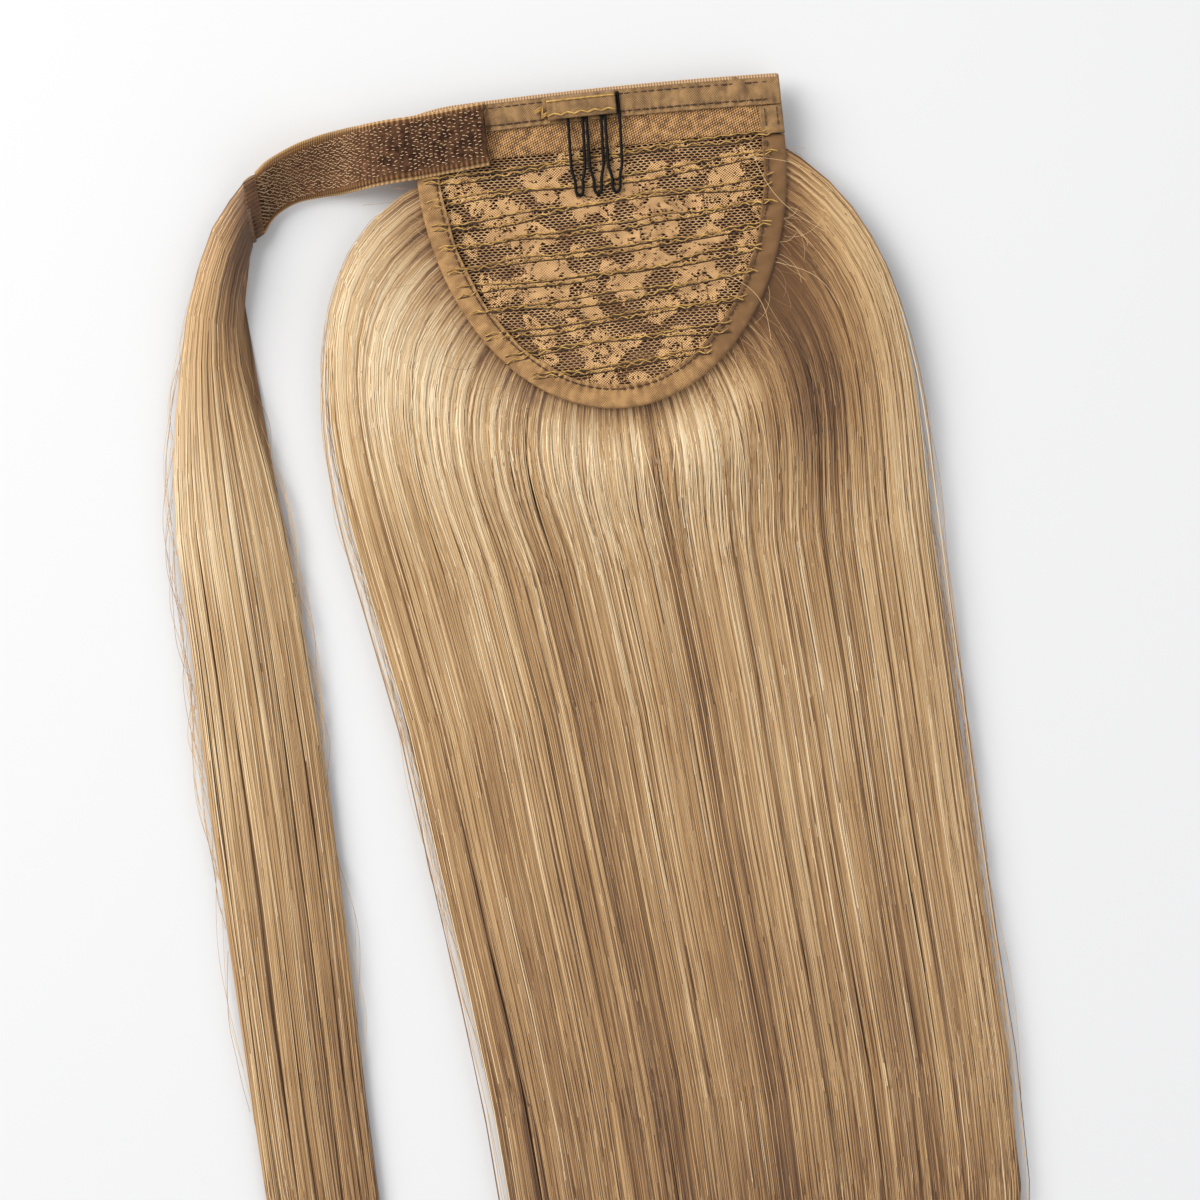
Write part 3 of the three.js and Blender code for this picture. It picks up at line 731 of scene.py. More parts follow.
def loft(name, rings, finish, **numbers):
    """rings has stations, spots and x, y, z in the base's frame. Both ends are closed."""
    stations, spots, _ = rings.shape
    first = np.arange(stations - 1)[:, None] * spots
    here = first + np.arange(spots)[None, :]
    beside = first + (np.arange(spots)[None, :] + 1) % spots
    faces = np.stack([here, beside, beside + spots, here + spots], -1).reshape(-1, 4).tolist()
    last = (stations - 1) * spots
    faces.append(list(range(spots))[::-1])
    faces.append([last + spot for spot in range(spots)])
    mesh = bpy.data.meshes.new(name)
    mesh.from_pydata(placed(rings).reshape(-1, 3).tolist(), [], faces)
    carry(mesh, (stations, spots), **numbers)
    return keep(name, mesh, finish)


def slab(x, y, top, floor):
    """Rings over an area: its upper side one way and its under side back."""
    return np.concatenate([joined(x, y, top), joined(x, y, floor)[:, ::-1]], axis=1)


# %% Core of the main hair
# The core's colour is darker than the strands': painted shade in the gaps between them.
core_finish = Finish("hair_core", 0.6)
core_streak = core_finish.noise(core_finish.place((900, 60, 200)), 1.0)
core_finish.color(core_finish.ramp(
    core_streak, (0.3, linear(116, 82, 52)), (0.7, linear(168, 128, 84))))

CORE_FLOOR, CORE_LOWEST, CORE_SUNK, CORE_PART = 0.1 * MM, 0.6 * MM, 1.2 * MM, 0.8
core_share, core_along = np.meshgrid(np.linspace(0.004, 0.996, 90),
                                     np.linspace(-0.02, 0.965, 44), indexing="ij")
core_x, core_y = hair_plan(core_share, core_along)
core_top = np.maximum(hair_top(core_share, core_along) * CORE_PART - CORE_SUNK, CORE_LOWEST)
sewn(loft("hair_core", slab(core_x, core_y, core_top, CORE_FLOOR), core_finish), "hair_fall")


# %% Wefts under the lace
WEFT_PITCH, WEFT_ROLL = 4.6 * MM, 0.9 * MM
WEFT_TOP, WEFT_FOOT, WEFT_INSET = 12.5 * MM, CAP_DEPTH - 7.5 * MM, 6.9 * MM
WEFT_DARK_TO, WEFT_LIGHTEN = 55 * MM, 4.0


def half_width_at(y, inset):
    """Half the width of the base at y, inset from its rim."""
    x, rim_y, _, _ = rim(np.linspace(0, 90, 400), inset)
    y = np.asarray(y, float)
    inside = np.interp(-y, -rim_y, -x, left=HALF_WIDTH - inset, right=0.2 * MM)
    return np.where(-y < CAP_STRAIGHT, HALF_WIDTH - inset, inside)


# The wefts' dark colours are partly painted shade, the shadow seen through the lace's holes; their
# colour gets lighter lower down.
weft_finish = Finish("wefts", 0.6)
weft_streak = weft_finish.noise(weft_finish.place((90, 1500, 1)), 1.0)
weft_low = weft_finish.axis(weft_finish.node("TexCoord", out="Object"), "Y")
weft_light = (weft_streak + (TOP_Y - WEFT_DARK_TO - weft_low) * WEFT_LIGHTEN).held()
weft_finish.color(weft_finish.ramp(
    weft_light, (0.25, linear(36, 21, 12)), (0.6, linear(76, 50, 30)), (0.95, linear(176, 136, 90))))

weft_y = -np.linspace(WEFT_TOP, WEFT_FOOT, 120)[:, None]
weft_x = half_width_at(weft_y, WEFT_INSET) * np.linspace(-1, 1, 24)[None, :]
weft_roll = 0.5 + 0.5 * np.cos(2 * np.pi * weft_y / WEFT_PITCH)
weft_z = cap_height(weft_y) - 1.2 * MM - WEFT_ROLL * weft_roll
sewn(loft("weft_rows", slab(weft_x, weft_y, weft_z, CORE_FLOOR), weft_finish), "hair_fall")

# %% [markdown]
# ## The binding and the band
# Both are strips of tape folded in half over an edge and sewn down. The stitches pull the upper
# leg of the fold in and gather the tape into small puckers, and these catch the light, so they
# are part of the form and not only of the shading. The outline runs round the fold once.

# %% Folded tape and its weave
TAPE_STEPS = [(1.0, 0.24), (1.0, 0.48), (0.965, 0.5), (0.9, 0.44), (0.84, 0.39), (0.77, 0.46),
              (0.62, 0.5), (0.45, 0.52), (0.28, 0.52), (0.13, 0.5), (0.04, 0.4), (0.0, 0.2)]
SLOT_DEPTH, SLOT_SHARE = 1.6 * MM, 0.24
SEAM_SHARE, SEAM_PULL = 0.84, 0.14
WEAVE_PITCH, CREASE_PITCH, PUCKER_PITCH = 0.8 * MM, 2.9 * MM, 2.1 * MM


def tape_outline(width):
    """Inset and height of the folded tape's outline, and a pull of 1 along the stitch line."""
    upper = [(inset * width, up * TAPE_THICK) for inset, up in TAPE_STEPS]
    lower = [(inset, -up) for inset, up in reversed(upper)]
    slot = [(SLOT_DEPTH, -SLOT_SHARE * TAPE_THICK), (SLOT_DEPTH, SLOT_SHARE * TAPE_THICK)]
    inset, up = np.array(upper + lower + slot).T
    return inset, up, bell(inset / width, SEAM_SHARE, SEAM_PULL) * (up > 0.3 * TAPE_THICK)


def puckers(length, seed):
    """Small folds along a seam: a wave whose pitch and size wander."""
    random = np.random.default_rng(seed)
    wave = wander(random, 1, length, length.max() * 0.13)[0]
    beat = np.sin(2 * np.pi * length / PUCKER_PITCH + 2.2 * wave)
    return beat * (0.65 + 0.35 * np.tanh(wander(random, 1, length, length.max() * 0.3)[0]))


def creases(slant, first, second):
    """Two waves that beat against each other, as in cloth that has been worn."""
    return np.sin(slant / first) * np.sin(slant / second)


def woven(name, roughness, low, high, pitch=WEAVE_PITCH, **constants):
    """Fine over-and-under weave, a little uneven in colour, with creases across the seam in the bump
    and as painted light and shade in the colour.
    """
    finish = Finish(name, roughness, **constants)
    point = finish.place()
    weave = finish.axis(point, "X").wave(pitch) * finish.axis(point, "Y").wave(pitch) * 0.5 + 0.5
    cloud = finish.noise(point, 260.0, 4.0)
    crease = (finish.own("length") * (2 * math.pi / CREASE_PITCH) + cloud * 7.0).join("SINE")
    # Painted light and shade: the crease wave lightens and darkens the colour, and an attribute
    # darkens parts that turn away from the light.
    shade = (weave * 0.3 + cloud * 0.7 + crease * 0.03 - finish.own("fade") * 0.3).held()
    finish.color(finish.ramp(shade, (0.36, low), (0.63, high)))
    finish.bump(weave * 0.6 + cloud * 2.0 + crease * 0.4, 0.6, 0.3 * MM)
    return finish


binding_finish = woven("binding_tape", 0.85, linear(128, 92, 54), linear(186, 143, 90),
                       Sheen_Weight=0.08)
band_finish = woven("band_tape", 0.85, linear(106, 78, 46), linear(164, 126, 80), Sheen_Weight=0.08)

# %% Edge binding
TAB_FOOT = CAP_STRAIGHT - GAP
BAND_EDGE = BAND_WIDTH + CAP_ARCH
BIND_SIDE, BIND_ROUND = 14, 380
BIND_PUCKER, BAND_PUCKER, BIND_LEAN, BAND_CREASE = 0.55 * MM, 0.5 * MM, 1.6 * MM, 0.16 * MM
bind_inset, bind_up, bind_pull = tape_outline(BINDING_WIDTH)
bind_rise = np.concatenate([np.linspace(CAP_STRAIGHT - BAND_EDGE - GAP, 0.4 * MM, BIND_SIDE),
                            np.zeros(BIND_ROUND)])[:, None]
bind_turn = np.concatenate([np.zeros(BIND_SIDE), np.linspace(0, 180, BIND_ROUND)])[:, None]
bind_x, bind_y, bind_out_x, bind_out_y = rim(bind_turn, bind_inset, bind_rise)
bind_length = run_along(bind_x[:, 0], bind_y[:, 0])[:, None]
bind_fold = puckers(bind_length[:, 0], 31)[:, None] * bind_pull * BIND_PUCKER
bind_slant = bind_length + 0.6 * bind_inset
bind_crease = (0.16 + 0.26 * smooth((bind_turn - 100) / 40)) * MM
bind_top = bind_up > 0.35 * TAPE_THICK
bind_fold = bind_fold + bind_top * bind_crease * creases(bind_slant, 1.3 * MM, 4.7 * MM)
bind_edge = 0.18 * MM * np.sin(bind_length / (3.1 * MM)) * (bind_inset > 5 * MM)
bind_lean = BIND_LEAN * smooth((bind_turn - 95) / 50) * (1 - bind_inset / BINDING_WIDTH)
bind_z = cap_height(bind_y) + bind_up + bind_fold - bind_lean
bind_rings = joined(bind_x - bind_edge * bind_out_x, bind_y - bind_edge * bind_out_y, bind_z)
# Painted shade: the binding's right side, which leans away from the light, is darkened through an
# attribute.
bind_piece = loft("edge_tape", bind_rings, binding_finish, length=bind_length,
                  fade=smooth((bind_turn - 95) / 60))
sewn(bind_piece, "edge_binding")

# %% Top band, with pulls in the cloth near its right end
PULL_PLACE, PULL_REACH, PULL_PITCH = 45 * MM, 7 * MM, 1.1 * MM
band_inset, band_up, band_pull = tape_outline(BAND_WIDTH)
band_x = np.linspace(-HALF_WIDTH, HALF_WIDTH, 230)[:, None]
band_fold = puckers(band_x[:, 0] + HALF_WIDTH, 32)[:, None] * band_pull * BAND_PUCKER
band_slant = band_x + 0.4 * band_inset
band_top = band_up > 0.35 * TAPE_THICK
band_fold = band_fold + BAND_CREASE * creases(band_slant, 1.7 * MM, 6.1 * MM) * band_top
band_pulls = np.sin((band_x - 0.5 * band_inset) / PULL_PITCH)
band_near = bell(band_x, PULL_PLACE, PULL_REACH) * (band_up > 0.3 * TAPE_THICK)
band_y = top_edge(band_x) - band_inset
band_z = cap_height(band_y) + band_up + band_fold + 0.42 * MM * band_pulls * band_near
band_piece = loft("band_tape", joined(band_x, band_y, band_z), band_finish, length=band_x)
sewn(band_piece, "top_band")

# %% End tab, the band's end folded down over the binding
TAB_LIFT = 0.4 * MM
tab_inset, tab_up, tab_pull = tape_outline(BINDING_WIDTH)
tab_y = -np.linspace(BAND_EDGE + GAP, TAB_FOOT, 26)[:, None]
tab_lift = np.sign(tab_up) * TAB_LIFT * np.sin(np.pi * np.linspace(0.15, 0.85, 26))[:, None]
tab_z = cap_height(tab_y) + tab_up + tab_lift + 0.12 * MM * tab_pull * np.sin(tab_y / MM)
tab_rings = joined(HALF_WIDTH - tab_inset, tab_y, tab_z)
sewn(loft("tab_fold", tab_rings, band_finish, length=tab_y), "end_tab")

# %% [markdown]
# ## The stretch panel
# Between the band and the lace runs a strip of ribbed knit that lets the base stretch. Its upper
# edge hides in the band's fold and its sides in the bindings. It is one thin closed sheet, and a
# fine rib in its bump shows the knit.

# %% Stretch panel
knit_finish = Finish("stretch_knit", 0.85, Sheen_Weight=0.1)
knit_point = knit_finish.place(turn=0.5)
knit_rib = knit_finish.axis(knit_point, "X").wave(0.9 * MM)
knit_weave = knit_rib * knit_finish.axis(knit_point, "Y").wave(1.2 * MM)
knit_cloud = knit_finish.noise(knit_point, 420.0, 3.0)
knit_finish.color(knit_finish.ramp(
    (knit_weave * 0.4 + knit_rib * 0.1 + knit_cloud).held(),
    (0.25, linear(68, 42, 20)), (0.52, linear(152, 108, 62)), (0.8, linear(214, 166, 106))))
knit_finish.bump(knit_weave + knit_cloud, 0.5, 0.25 * MM)

STRETCH_TOP, STRETCH_FOOT = 3.1 * MM, BAND_WIDTH + STRETCH_WIDTH
KNIT_SEAM, KNIT_HALF, KNIT_RIPPLE = 1.9 * MM, 0.4 * MM, 0.12 * MM
knit_rows = np.linspace(STRETCH_TOP, STRETCH_FOOT, 20)
knit_depth = np.concatenate([knit_rows, knit_rows[::-1]])
knit_x = np.linspace(-HALF_WIDTH + KNIT_SEAM, HALF_WIDTH - KNIT_SEAM, 150)[:, None]
knit_wave = KNIT_RIPPLE * np.sin(knit_x / (2.3 * MM) + knit_depth / (1.7 * MM))
knit_wave = knit_wave * (knit_depth > BAND_WIDTH + 1 * MM)
knit_z = cap_height(-knit_depth) + np.repeat([KNIT_HALF, -KNIT_HALF], 20) + knit_wave
knit_piece = loft("stretch_knit", joined(knit_x, -knit_depth, knit_z), knit_finish)
sewn(knit_piece, "stretch_panel")

# %% [markdown]
# ## The lace
# The base is a machine lace: a fine net of hexagonal holes with flowers and leaves woven closely
# into it. The net is a graph of short threads, three to a corner, and the tree above gives them
# their thickness.

# %% The net
NET_PITCH, NET_GIRTH = 1.08 * MM, 0.165 * MM
NET_ROW, NET_COLUMN, NET_RISE = 0.75 * NET_PITCH, 0.866 * NET_PITCH, 0.125 * NET_PITCH
STITCH_PITCH = 7.2 * MM
LACE_TOP, LACE_FOOT = STRETCH_FOOT - 1 * MM, CAP_DEPTH - 5.5 * MM
LACE_INSET = 5.8 * MM


def lace_height(x, y):
    """The lace sags a little between its rows of stitches."""
    sag = 0.22 * MM * np.cos(2 * np.pi * (y - 0.04 * x) / STITCH_PITCH)
    ripple = 0.15 * MM * np.sin(x / (3.7 * MM) + y / (5.3 * MM))
    return cap_height(y) + sag + ripple


lace_finish = Finish("lace_thread", 0.75, Sheen_Weight=0.2)
lace_cloud = lace_finish.noise(lace_finish.place(), 160.0)
lace_finish.color(lace_finish.ramp(
    lace_cloud, (0.3, linear(160, 114, 66)), (0.7, linear(228, 182, 126))))

net_rows = int((LACE_FOOT - LACE_TOP) / NET_ROW)
net_columns = int(2 * HALF_WIDTH / NET_COLUMN)
net_row, net_column = np.meshgrid(np.arange(net_rows), np.arange(net_columns), indexing="ij")
net_odd = (net_row + net_column) % 2 == 1
net_x = (net_column - net_columns / 2) * NET_COLUMN
net_y = -LACE_TOP - net_row * NET_ROW + np.where(net_odd, -NET_RISE, NET_RISE)
net_y = net_y + 0.35 * MM * np.sin(net_x / (9 * MM))
net_in = (np.abs(net_x) < half_width_at(net_y, LACE_INSET)) & (-net_y < LACE_FOOT)
net_id = np.arange(net_x.size).reshape(net_x.shape)
beside = net_in[:, :-1] & net_in[:, 1:]
under = net_in[:-1] & net_in[1:] & net_odd[:-1]
net_edges = np.concatenate([
    np.stack([net_id[:, :-1][beside], net_id[:, 1:][beside]], -1),
    np.stack([net_id[:-1][under], net_id[1:][under]], -1)])
net_points = joined(net_x, net_y, lace_height(net_x, net_y)).reshape(-1, 3)
net_piece = tubes("lace_net", net_points, net_edges, NET_GIRTH, lace_finish, rounded=False)
sewn(net_piece, "lace_panel")

# %% [markdown]
# ## Flowers in the lace
# A plain design of five-petal flowers and leaves lies in rows, with small sprigs between them.
# Each has a formula that is above zero inside it. A fine raster keeps the cells where one of the
# formulas holds, and every kept cell becomes a bit of one thin plate.

# %% The design
flowers = [
    # across and depth in mm from the base's middle line and upper edge, size, turn in degrees
    (-31, 39, 8.5, 10), (-7, 34, 6.5, 40), (16, 42, 8.0, 20), (38, 34, 7.5, 55), (-18, 58, 7.5, 0),
    (4, 62, 6.0, 30), (27, 63, 8.2, 70), (-6, 82, 7.5, 15), (17, 84, 6.2, 50), (-44, 27, 5.5, 5),
    (-36, 60, 5.0, 35), (44, 54, 5.5, 25)]
leaves = [
    # across, depth, length, width, turn in degrees
    (-19, 31, 9, 3.4, 30), (4, 26, 9, 3.2, -20), (26, 28, 9, 3.4, 15), (-24, 47, 8, 3.2, -50),
    (3, 47, 9, 3.4, 60), (29, 49, 8, 3.0, -35), (-7, 70, 9, 3.2, 35), (15, 71, 8, 3.2, -30),
    (33, 75, 7, 3.0, 70), (-26, 72, 8, 3.0, 60), (47, 43, 6, 2.6, 80), (-43, 45, 7, 2.8, 75),
    (-40, 33, 6, 2.6, -60), (4, 91, 7, 2.6, 0), (-15, 24, 7, 2.8, 10), (49, 26, 6, 2.8, 20),
    (15, 55, 7, 2.6, 10), (-30, 51, 6, 2.4, 20)]
SPRIGS = 105
sprig = np.random.default_rng(43)
for across, depth in zip(sprig.uniform(-52, 52, SPRIGS), sprig.uniform(20, 94, SPRIGS)):
    if sprig.uniform() < 0.3:
        flowers.append((across, depth, sprig.uniform(2.2, 4.2), sprig.uniform(0, 72)))
    else:
        size = (sprig.uniform(4, 8.5), sprig.uniform(2.2, 4))
        leaves.append((across, depth, *size, sprig.uniform(-60, 60)))


def flower_field(x, y):
    """Above zero inside a petal, a flower's eye, or a leaf. x and y are in millimetres."""
    field = np.full(x.shape, -1.0)
    for across, depth, size, turn in flowers:
        angle = np.arctan2(-y - depth, x - across) + math.radians(turn)
        away = np.hypot(x - across, -y - depth) / size
        petals = (0.62 + 0.38 * np.abs(np.cos(2.5 * angle)) ** 0.7) - away
        ring = np.abs(away - 0.3) - 0.055
        vein = np.abs(np.sin(2.5 * angle)) * away - 0.035
        field = np.maximum(field, np.minimum(np.minimum(petals, ring), np.maximum(vein, 0.3 - away)))
    for across, depth, length, width, turn in leaves:
        cos, sin = math.cos(math.radians(turn)), math.sin(math.radians(turn))
        along = ((x - across) * cos + (-y - depth) * sin) / length * 1.6
        aside = (-(x - across) * sin + (-y - depth) * cos) / width * 1.3
        leaf = 1 - np.abs(along) ** 1.6 - np.abs(aside)
        field = np.maximum(field, np.minimum(leaf, np.abs(aside) - 0.07))
    return field


# %% The raster and its plates
CELL = 0.5 * MM
RAGGED, CELL_SHIFT = 0.11, 0.25
FLOWER_RISE, FLOWER_THICK = 0.24 * MM, 0.2 * MM
cell_x, cell_y = np.meshgrid(np.arange(-HALF_WIDTH, HALF_WIDTH, CELL),
                             -np.arange(LACE_TOP, LACE_FOOT, CELL), indexing="ij")
middle_x, middle_y = cell_x[:-1, :-1] + CELL / 2, cell_y[:-1, :-1] - CELL / 2
ragged = np.random.default_rng(41).normal(0, RAGGED, middle_x.shape)
kept = (flower_field(middle_x / MM, middle_y / MM) + ragged > 0.0)
kept &= np.abs(middle_x) < half_width_at(middle_y, LACE_INSET)
for _ in range(6):
    # Cells that touch only at a corner would share one upright edge, so one of them is dropped.
    corner = kept[:-1, :-1] & kept[1:, 1:] & ~kept[1:, :-1] & ~kept[:-1, 1:]
    kept[1:, 1:] &= ~corner
    corner = kept[1:, :-1] & kept[:-1, 1:] & ~kept[:-1, :-1] & ~kept[1:, 1:]
    kept[:-1, 1:] &= ~corner


def plates(name, kept, x, y, top, thick, finish):
    """A thin closed plate over every kept cell of a raster, with walls where the pattern ends."""
    index = np.arange(x.size).reshape(x.shape)
    corners = np.stack([index[:-1, :-1], index[1:, :-1], index[1:, 1:], index[:-1, 1:]], -1)[kept]
    points = np.concatenate([joined(x, y, top).reshape(-1, 3),
                             joined(x, y, top - thick).reshape(-1, 3)])
    sides = np.stack([corners, np.roll(corners, -1, axis=1)], -1).reshape(-1, 2)
    _, first, count = np.unique(np.sort(sides, axis=1), axis=0, return_index=True,
                                return_counts=True)
    start, end = sides[first[count == 1]].T
    walls = np.stack([end, start, start + x.size, end + x.size], -1)
    faces = np.concatenate([corners, corners[:, ::-1] + x.size, walls])
    used, renamed = np.unique(faces, return_inverse=True)
    mesh = bpy.data.meshes.new(name)
    mesh.from_pydata(placed(points[used]).tolist(), [], renamed.reshape(faces.shape).tolist())
    return keep(name, mesh, finish, rounded=False)


flower_finish = Finish("lace_flowers", 0.8, Sheen_Weight=0.08)
flower_point = flower_finish.place()
flower_weave = flower_finish.axis(flower_point, "X").wave(0.9 * MM)
flower_weave = flower_weave * flower_finish.axis(flower_point, "Y").wave(0.8 * MM)
flower_cloud = flower_finish.noise(flower_point, 300.0, 3.0)
flower_finish.color(flower_finish.ramp(
    (flower_weave * 0.75 + flower_cloud * 1.1).held(),
    (0.14, linear(60, 36, 18)), (0.36, linear(170, 124, 74)), (0.85, linear(228, 182, 124))))
flower_finish.bump(flower_weave, 0.4, 0.15 * MM)

cell_random = np.random.default_rng(42)
shift_x, shift_y = cell_random.uniform(-CELL_SHIFT, CELL_SHIFT, (2, *cell_x.shape)) * CELL
flower_x, flower_y = cell_x + shift_x, cell_y + shift_y
flower_piece = plates("lace_flowers", kept, flower_x, flower_y,
                      lace_height(flower_x, flower_y) + FLOWER_RISE, FLOWER_THICK, flower_finish)
sewn(flower_piece, "lace_panel")
float(kept.sum() * CELL ** 2)

# %% [markdown]
# ## Stitches
# A seam is a row of short arcs that dip into the cloth at both ends. The tree above makes them
# from lines, as it makes the strands. Wefts are sewn to the lace in long rows of golden zigzag,
# and the tapes are held by plain dashes.

# %% Stitch rows on the lace
thread_finish = Finish("gold_thread", 0.45, Sheen_Weight=0.2)
thread_cloud = thread_finish.noise(thread_finish.place(), 300.0)
thread_finish.color(thread_finish.ramp(
    thread_cloud, (0.3, linear(156, 112, 44)), (0.7, linear(222, 178, 92))))
tape_thread = Finish("tape_thread", 0.6)
tape_thread.color(linear(70, 45, 22))
ROW_FIRST, ROW_END, ROW_INSET = 22 * MM, 93 * MM, 2.0 * MM
ROW_SLOPE, ROW_WANDER = 0.045, 0.45 * MM
ROW_PAIR = ((0, 0.5 * MM), (1.3 * MM, 0.25 * MM))  # how far up each row lies, and its swing
ROW_STITCH = (2.0, 2.7)
GOLD_GIRTH, SHADOW_GIRTH = 0.23 * MM, 0.26 * MM
STITCH_DIP = 0.08 * MM


def dashes(x, y, z, length, share=0.86, zigzag=0.0, lift=0.3 * MM, points=5):
    """Short arcs along a path. x, y and z are the path's points, length that of one stitch."""
    x, y, z = np.broadcast_arrays(x, y, z)
    path = run_along(x, y)
    count = max(1, int(path[-1] / length))
    part = (np.arange(count)[:, None] + share * np.linspace(0, 1, points)[None, :]) * length
    at_x, at_y, at_z = (np.interp(part, path, axis) for axis in (x, y, z))
    step_x = np.interp(part + length / 4, path, x) - at_x
    step_y = np.interp(part + length / 4, path, y) - at_y
    step = np.maximum(np.hypot(step_x, step_y), 1e-9)
    way = np.where(np.arange(count) % 2 == 0, 1.0, -1.0)[:, None] * np.linspace(-1, 1, points)
    arch = np.sin(np.pi * np.linspace(0, 1, points))[None, :] * lift
    return joined(at_x - step_y / step * way * zigzag, at_y + step_x / step * way * zigzag,
                  at_z + arch - STITCH_DIP)


def rows_on_lace():
    """Pairs of gold zigzag rows, and below each a dark thread: partly the edge of a weft, partly
    painted shadow where the lace sags.
    """
    random = np.random.default_rng(51)
    gold, shadow = [], []
    for depth in np.arange(ROW_FIRST, ROW_END, STITCH_PITCH):
        reach = float(half_width_at(-depth, ROW_INSET))
        x = np.linspace(-reach, reach, 90)
        for beside, swing in ROW_PAIR:
            wave = wander(random, 1, x + HALF_WIDTH, HALF_WIDTH)[0] * ROW_WANDER
            y = -depth + beside + ROW_SLOPE * x + wave
            on_tape = np.abs(x) > half_width_at(y, BINDING_WIDTH)
            z = np.where(on_tape, cap_height(y) + 1.6 * MM, lace_height(x, y) + 0.4 * MM)
            gold.append(dashes(x, y, z, random.uniform(*ROW_STITCH) * MM, 0.95, swing))
            # A dark thread below each row, partly the weft's edge and partly painted shadow.
            shadow.append(joined(x, y - 0.55 * MM, z - 0.1 * MM)[::3])
    return np.concatenate(gold), np.array(shadow)


gold_lines, shadow_lines = rows_on_lace()
sewn(threads("gold_rows", gold_lines, GOLD_GIRTH, thread_finish), "lace_panel")
sewn(threads("weft_seams", shadow_lines, SHADOW_GIRTH, tape_thread), "lace_panel")

# %% Dashes on the tapes
DASH, TAB_DASH = 2.5 * MM, 2.0 * MM
DASH_GIRTH, TAB_GIRTH = 0.24 * MM, 0.16 * MM
BIND_SEAM, BIND_SEAM_SINK = 0.82 * BINDING_WIDTH, 0.162 * MM
BIND_CROWN, BAND_CROWN, TAB_CROWN = 1.4 * MM, 1.45 * MM, 2.0 * MM
BAND_SEAMS, TAB_SEAMS = (2.4 * MM, 7.9 * MM), (1.8 * MM, 5.6 * MM)
seam_turn = np.linspace(0, 180, 500)
seam_x, seam_y, _, _ = rim(seam_turn, BIND_SEAM)
seam_z = cap_height(seam_y) + BIND_CROWN - BIND_SEAM_SINK * smooth((seam_turn - 95) / 50)
binding_dashes = dashes(seam_x, seam_y, seam_z, DASH, 0.8)
sewn(threads("binding_stitches", binding_dashes, DASH_GIRTH, tape_thread, sides=5),
     "edge_binding")
seam_x = np.linspace(-HALF_WIDTH + 2 * MM, HALF_WIDTH - 1.5 * MM, 200)
band_dashes = [dashes(seam_x, top_edge(seam_x) - depth, cap_height(-depth) + BAND_CROWN, DASH, 0.78)
               for depth in BAND_SEAMS]
sewn(threads("band_stitches", np.concatenate(band_dashes), DASH_GIRTH, tape_thread, sides=5),
     "top_band")

# %% Selvedge, the two cords of the band's upper edge
selvedge_finish = Finish("selvedge", 0.7, Sheen_Weight=0.2)
selvedge_rib = selvedge_finish.axis(selvedge_finish.place(), "X").wave(0.9 * MM)
selvedge_finish.color(selvedge_finish.ramp(
    selvedge_rib * 0.5 + 0.5, (0.2, linear(150, 112, 74)), (0.8, linear(206, 170, 126))))
CORD_GIRTH, CORD_INSET = 0.4 * MM, 0.5 * MM
CORD_PLACES = ((0.15 * MM, 0.9 * MM), (0.75 * MM, 1.35 * MM))  # depth and height of each
edge_x = np.linspace(-HALF_WIDTH + CORD_INSET, HALF_WIDTH - CORD_INSET, 120)
edge_lines = [joined(edge_x, top_edge(edge_x) - depth, cap_height(-depth) + up)
              for depth, up in CORD_PLACES]
edge_piece = threads("band_selvedge", np.array(edge_lines), CORD_GIRTH, selvedge_finish, sides=6)
sewn(edge_piece, "top_band")

# %% Dashes on the end tab
seam_y = -np.linspace(BAND_EDGE + 1 * MM, TAB_FOOT - 0.8 * MM, 60)
tab_dashes = [dashes(HALF_WIDTH - inset, seam_y, cap_height(seam_y) + TAB_CROWN, TAB_DASH, 0.8)
              for inset in TAB_SEAMS]
sewn(threads("tab_stitches", np.concatenate(tab_dashes), TAB_GIRTH, tape_thread, sides=5),
     "end_tab")

# %% [markdown]
# ## The comb
# One length of coated wire makes three hairpins side by side. It is drawn as a row of straight
# bits through its bends, then eased, as a bending tool would leave it.

# %% Comb
WIRE = 0.4 * MM
COAT = 1.2
TOOTH_PITCH, TOOTH_WIDTH, TOOTH_LENGTH = 5.75 * MM, 4.5 * MM, 24.7 * MM
COMB_LEAN = -0.045
SLEEVE_MOUTH = BAND_WIDTH - 1 * MM
COMB_FIRST = -0.85 * MM - TOOTH_PITCH
COMB_LAST = COMB_FIRST + 2 * TOOTH_PITCH
WIRE_SEAT = TAPE_THICK / 2 + GAP + WIRE
WIRE_LOW = 0.4 * MM + GAP + WIRE
WIRE_TOP, WIRE_SHOULDER = SLEEVE_MOUTH / 2, SLEEVE_MOUTH / 2 + 0.6 * MM
EASING = 14
TOOTH_BENDS = [(0, 1.02), (0.64, 0.95), (0.73, 0.72), (0.81, 0.5), (0.9, 0.53), (0.96, 0.45)]


def wire_at(x, depth):
    """x and depth of the bare wire, as a point of the base's frame."""
    y = top_edge(x) - depth
    low = smooth((depth - BAND_WIDTH - 2 * WIRE) / TOOTH_LENGTH)
    lean = COMB_LEAN * np.maximum(0, depth - SLEEVE_MOUTH)
    return joined(x + lean, y, cap_height(y) + mix(WIRE_SEAT, WIRE_LOW, low))


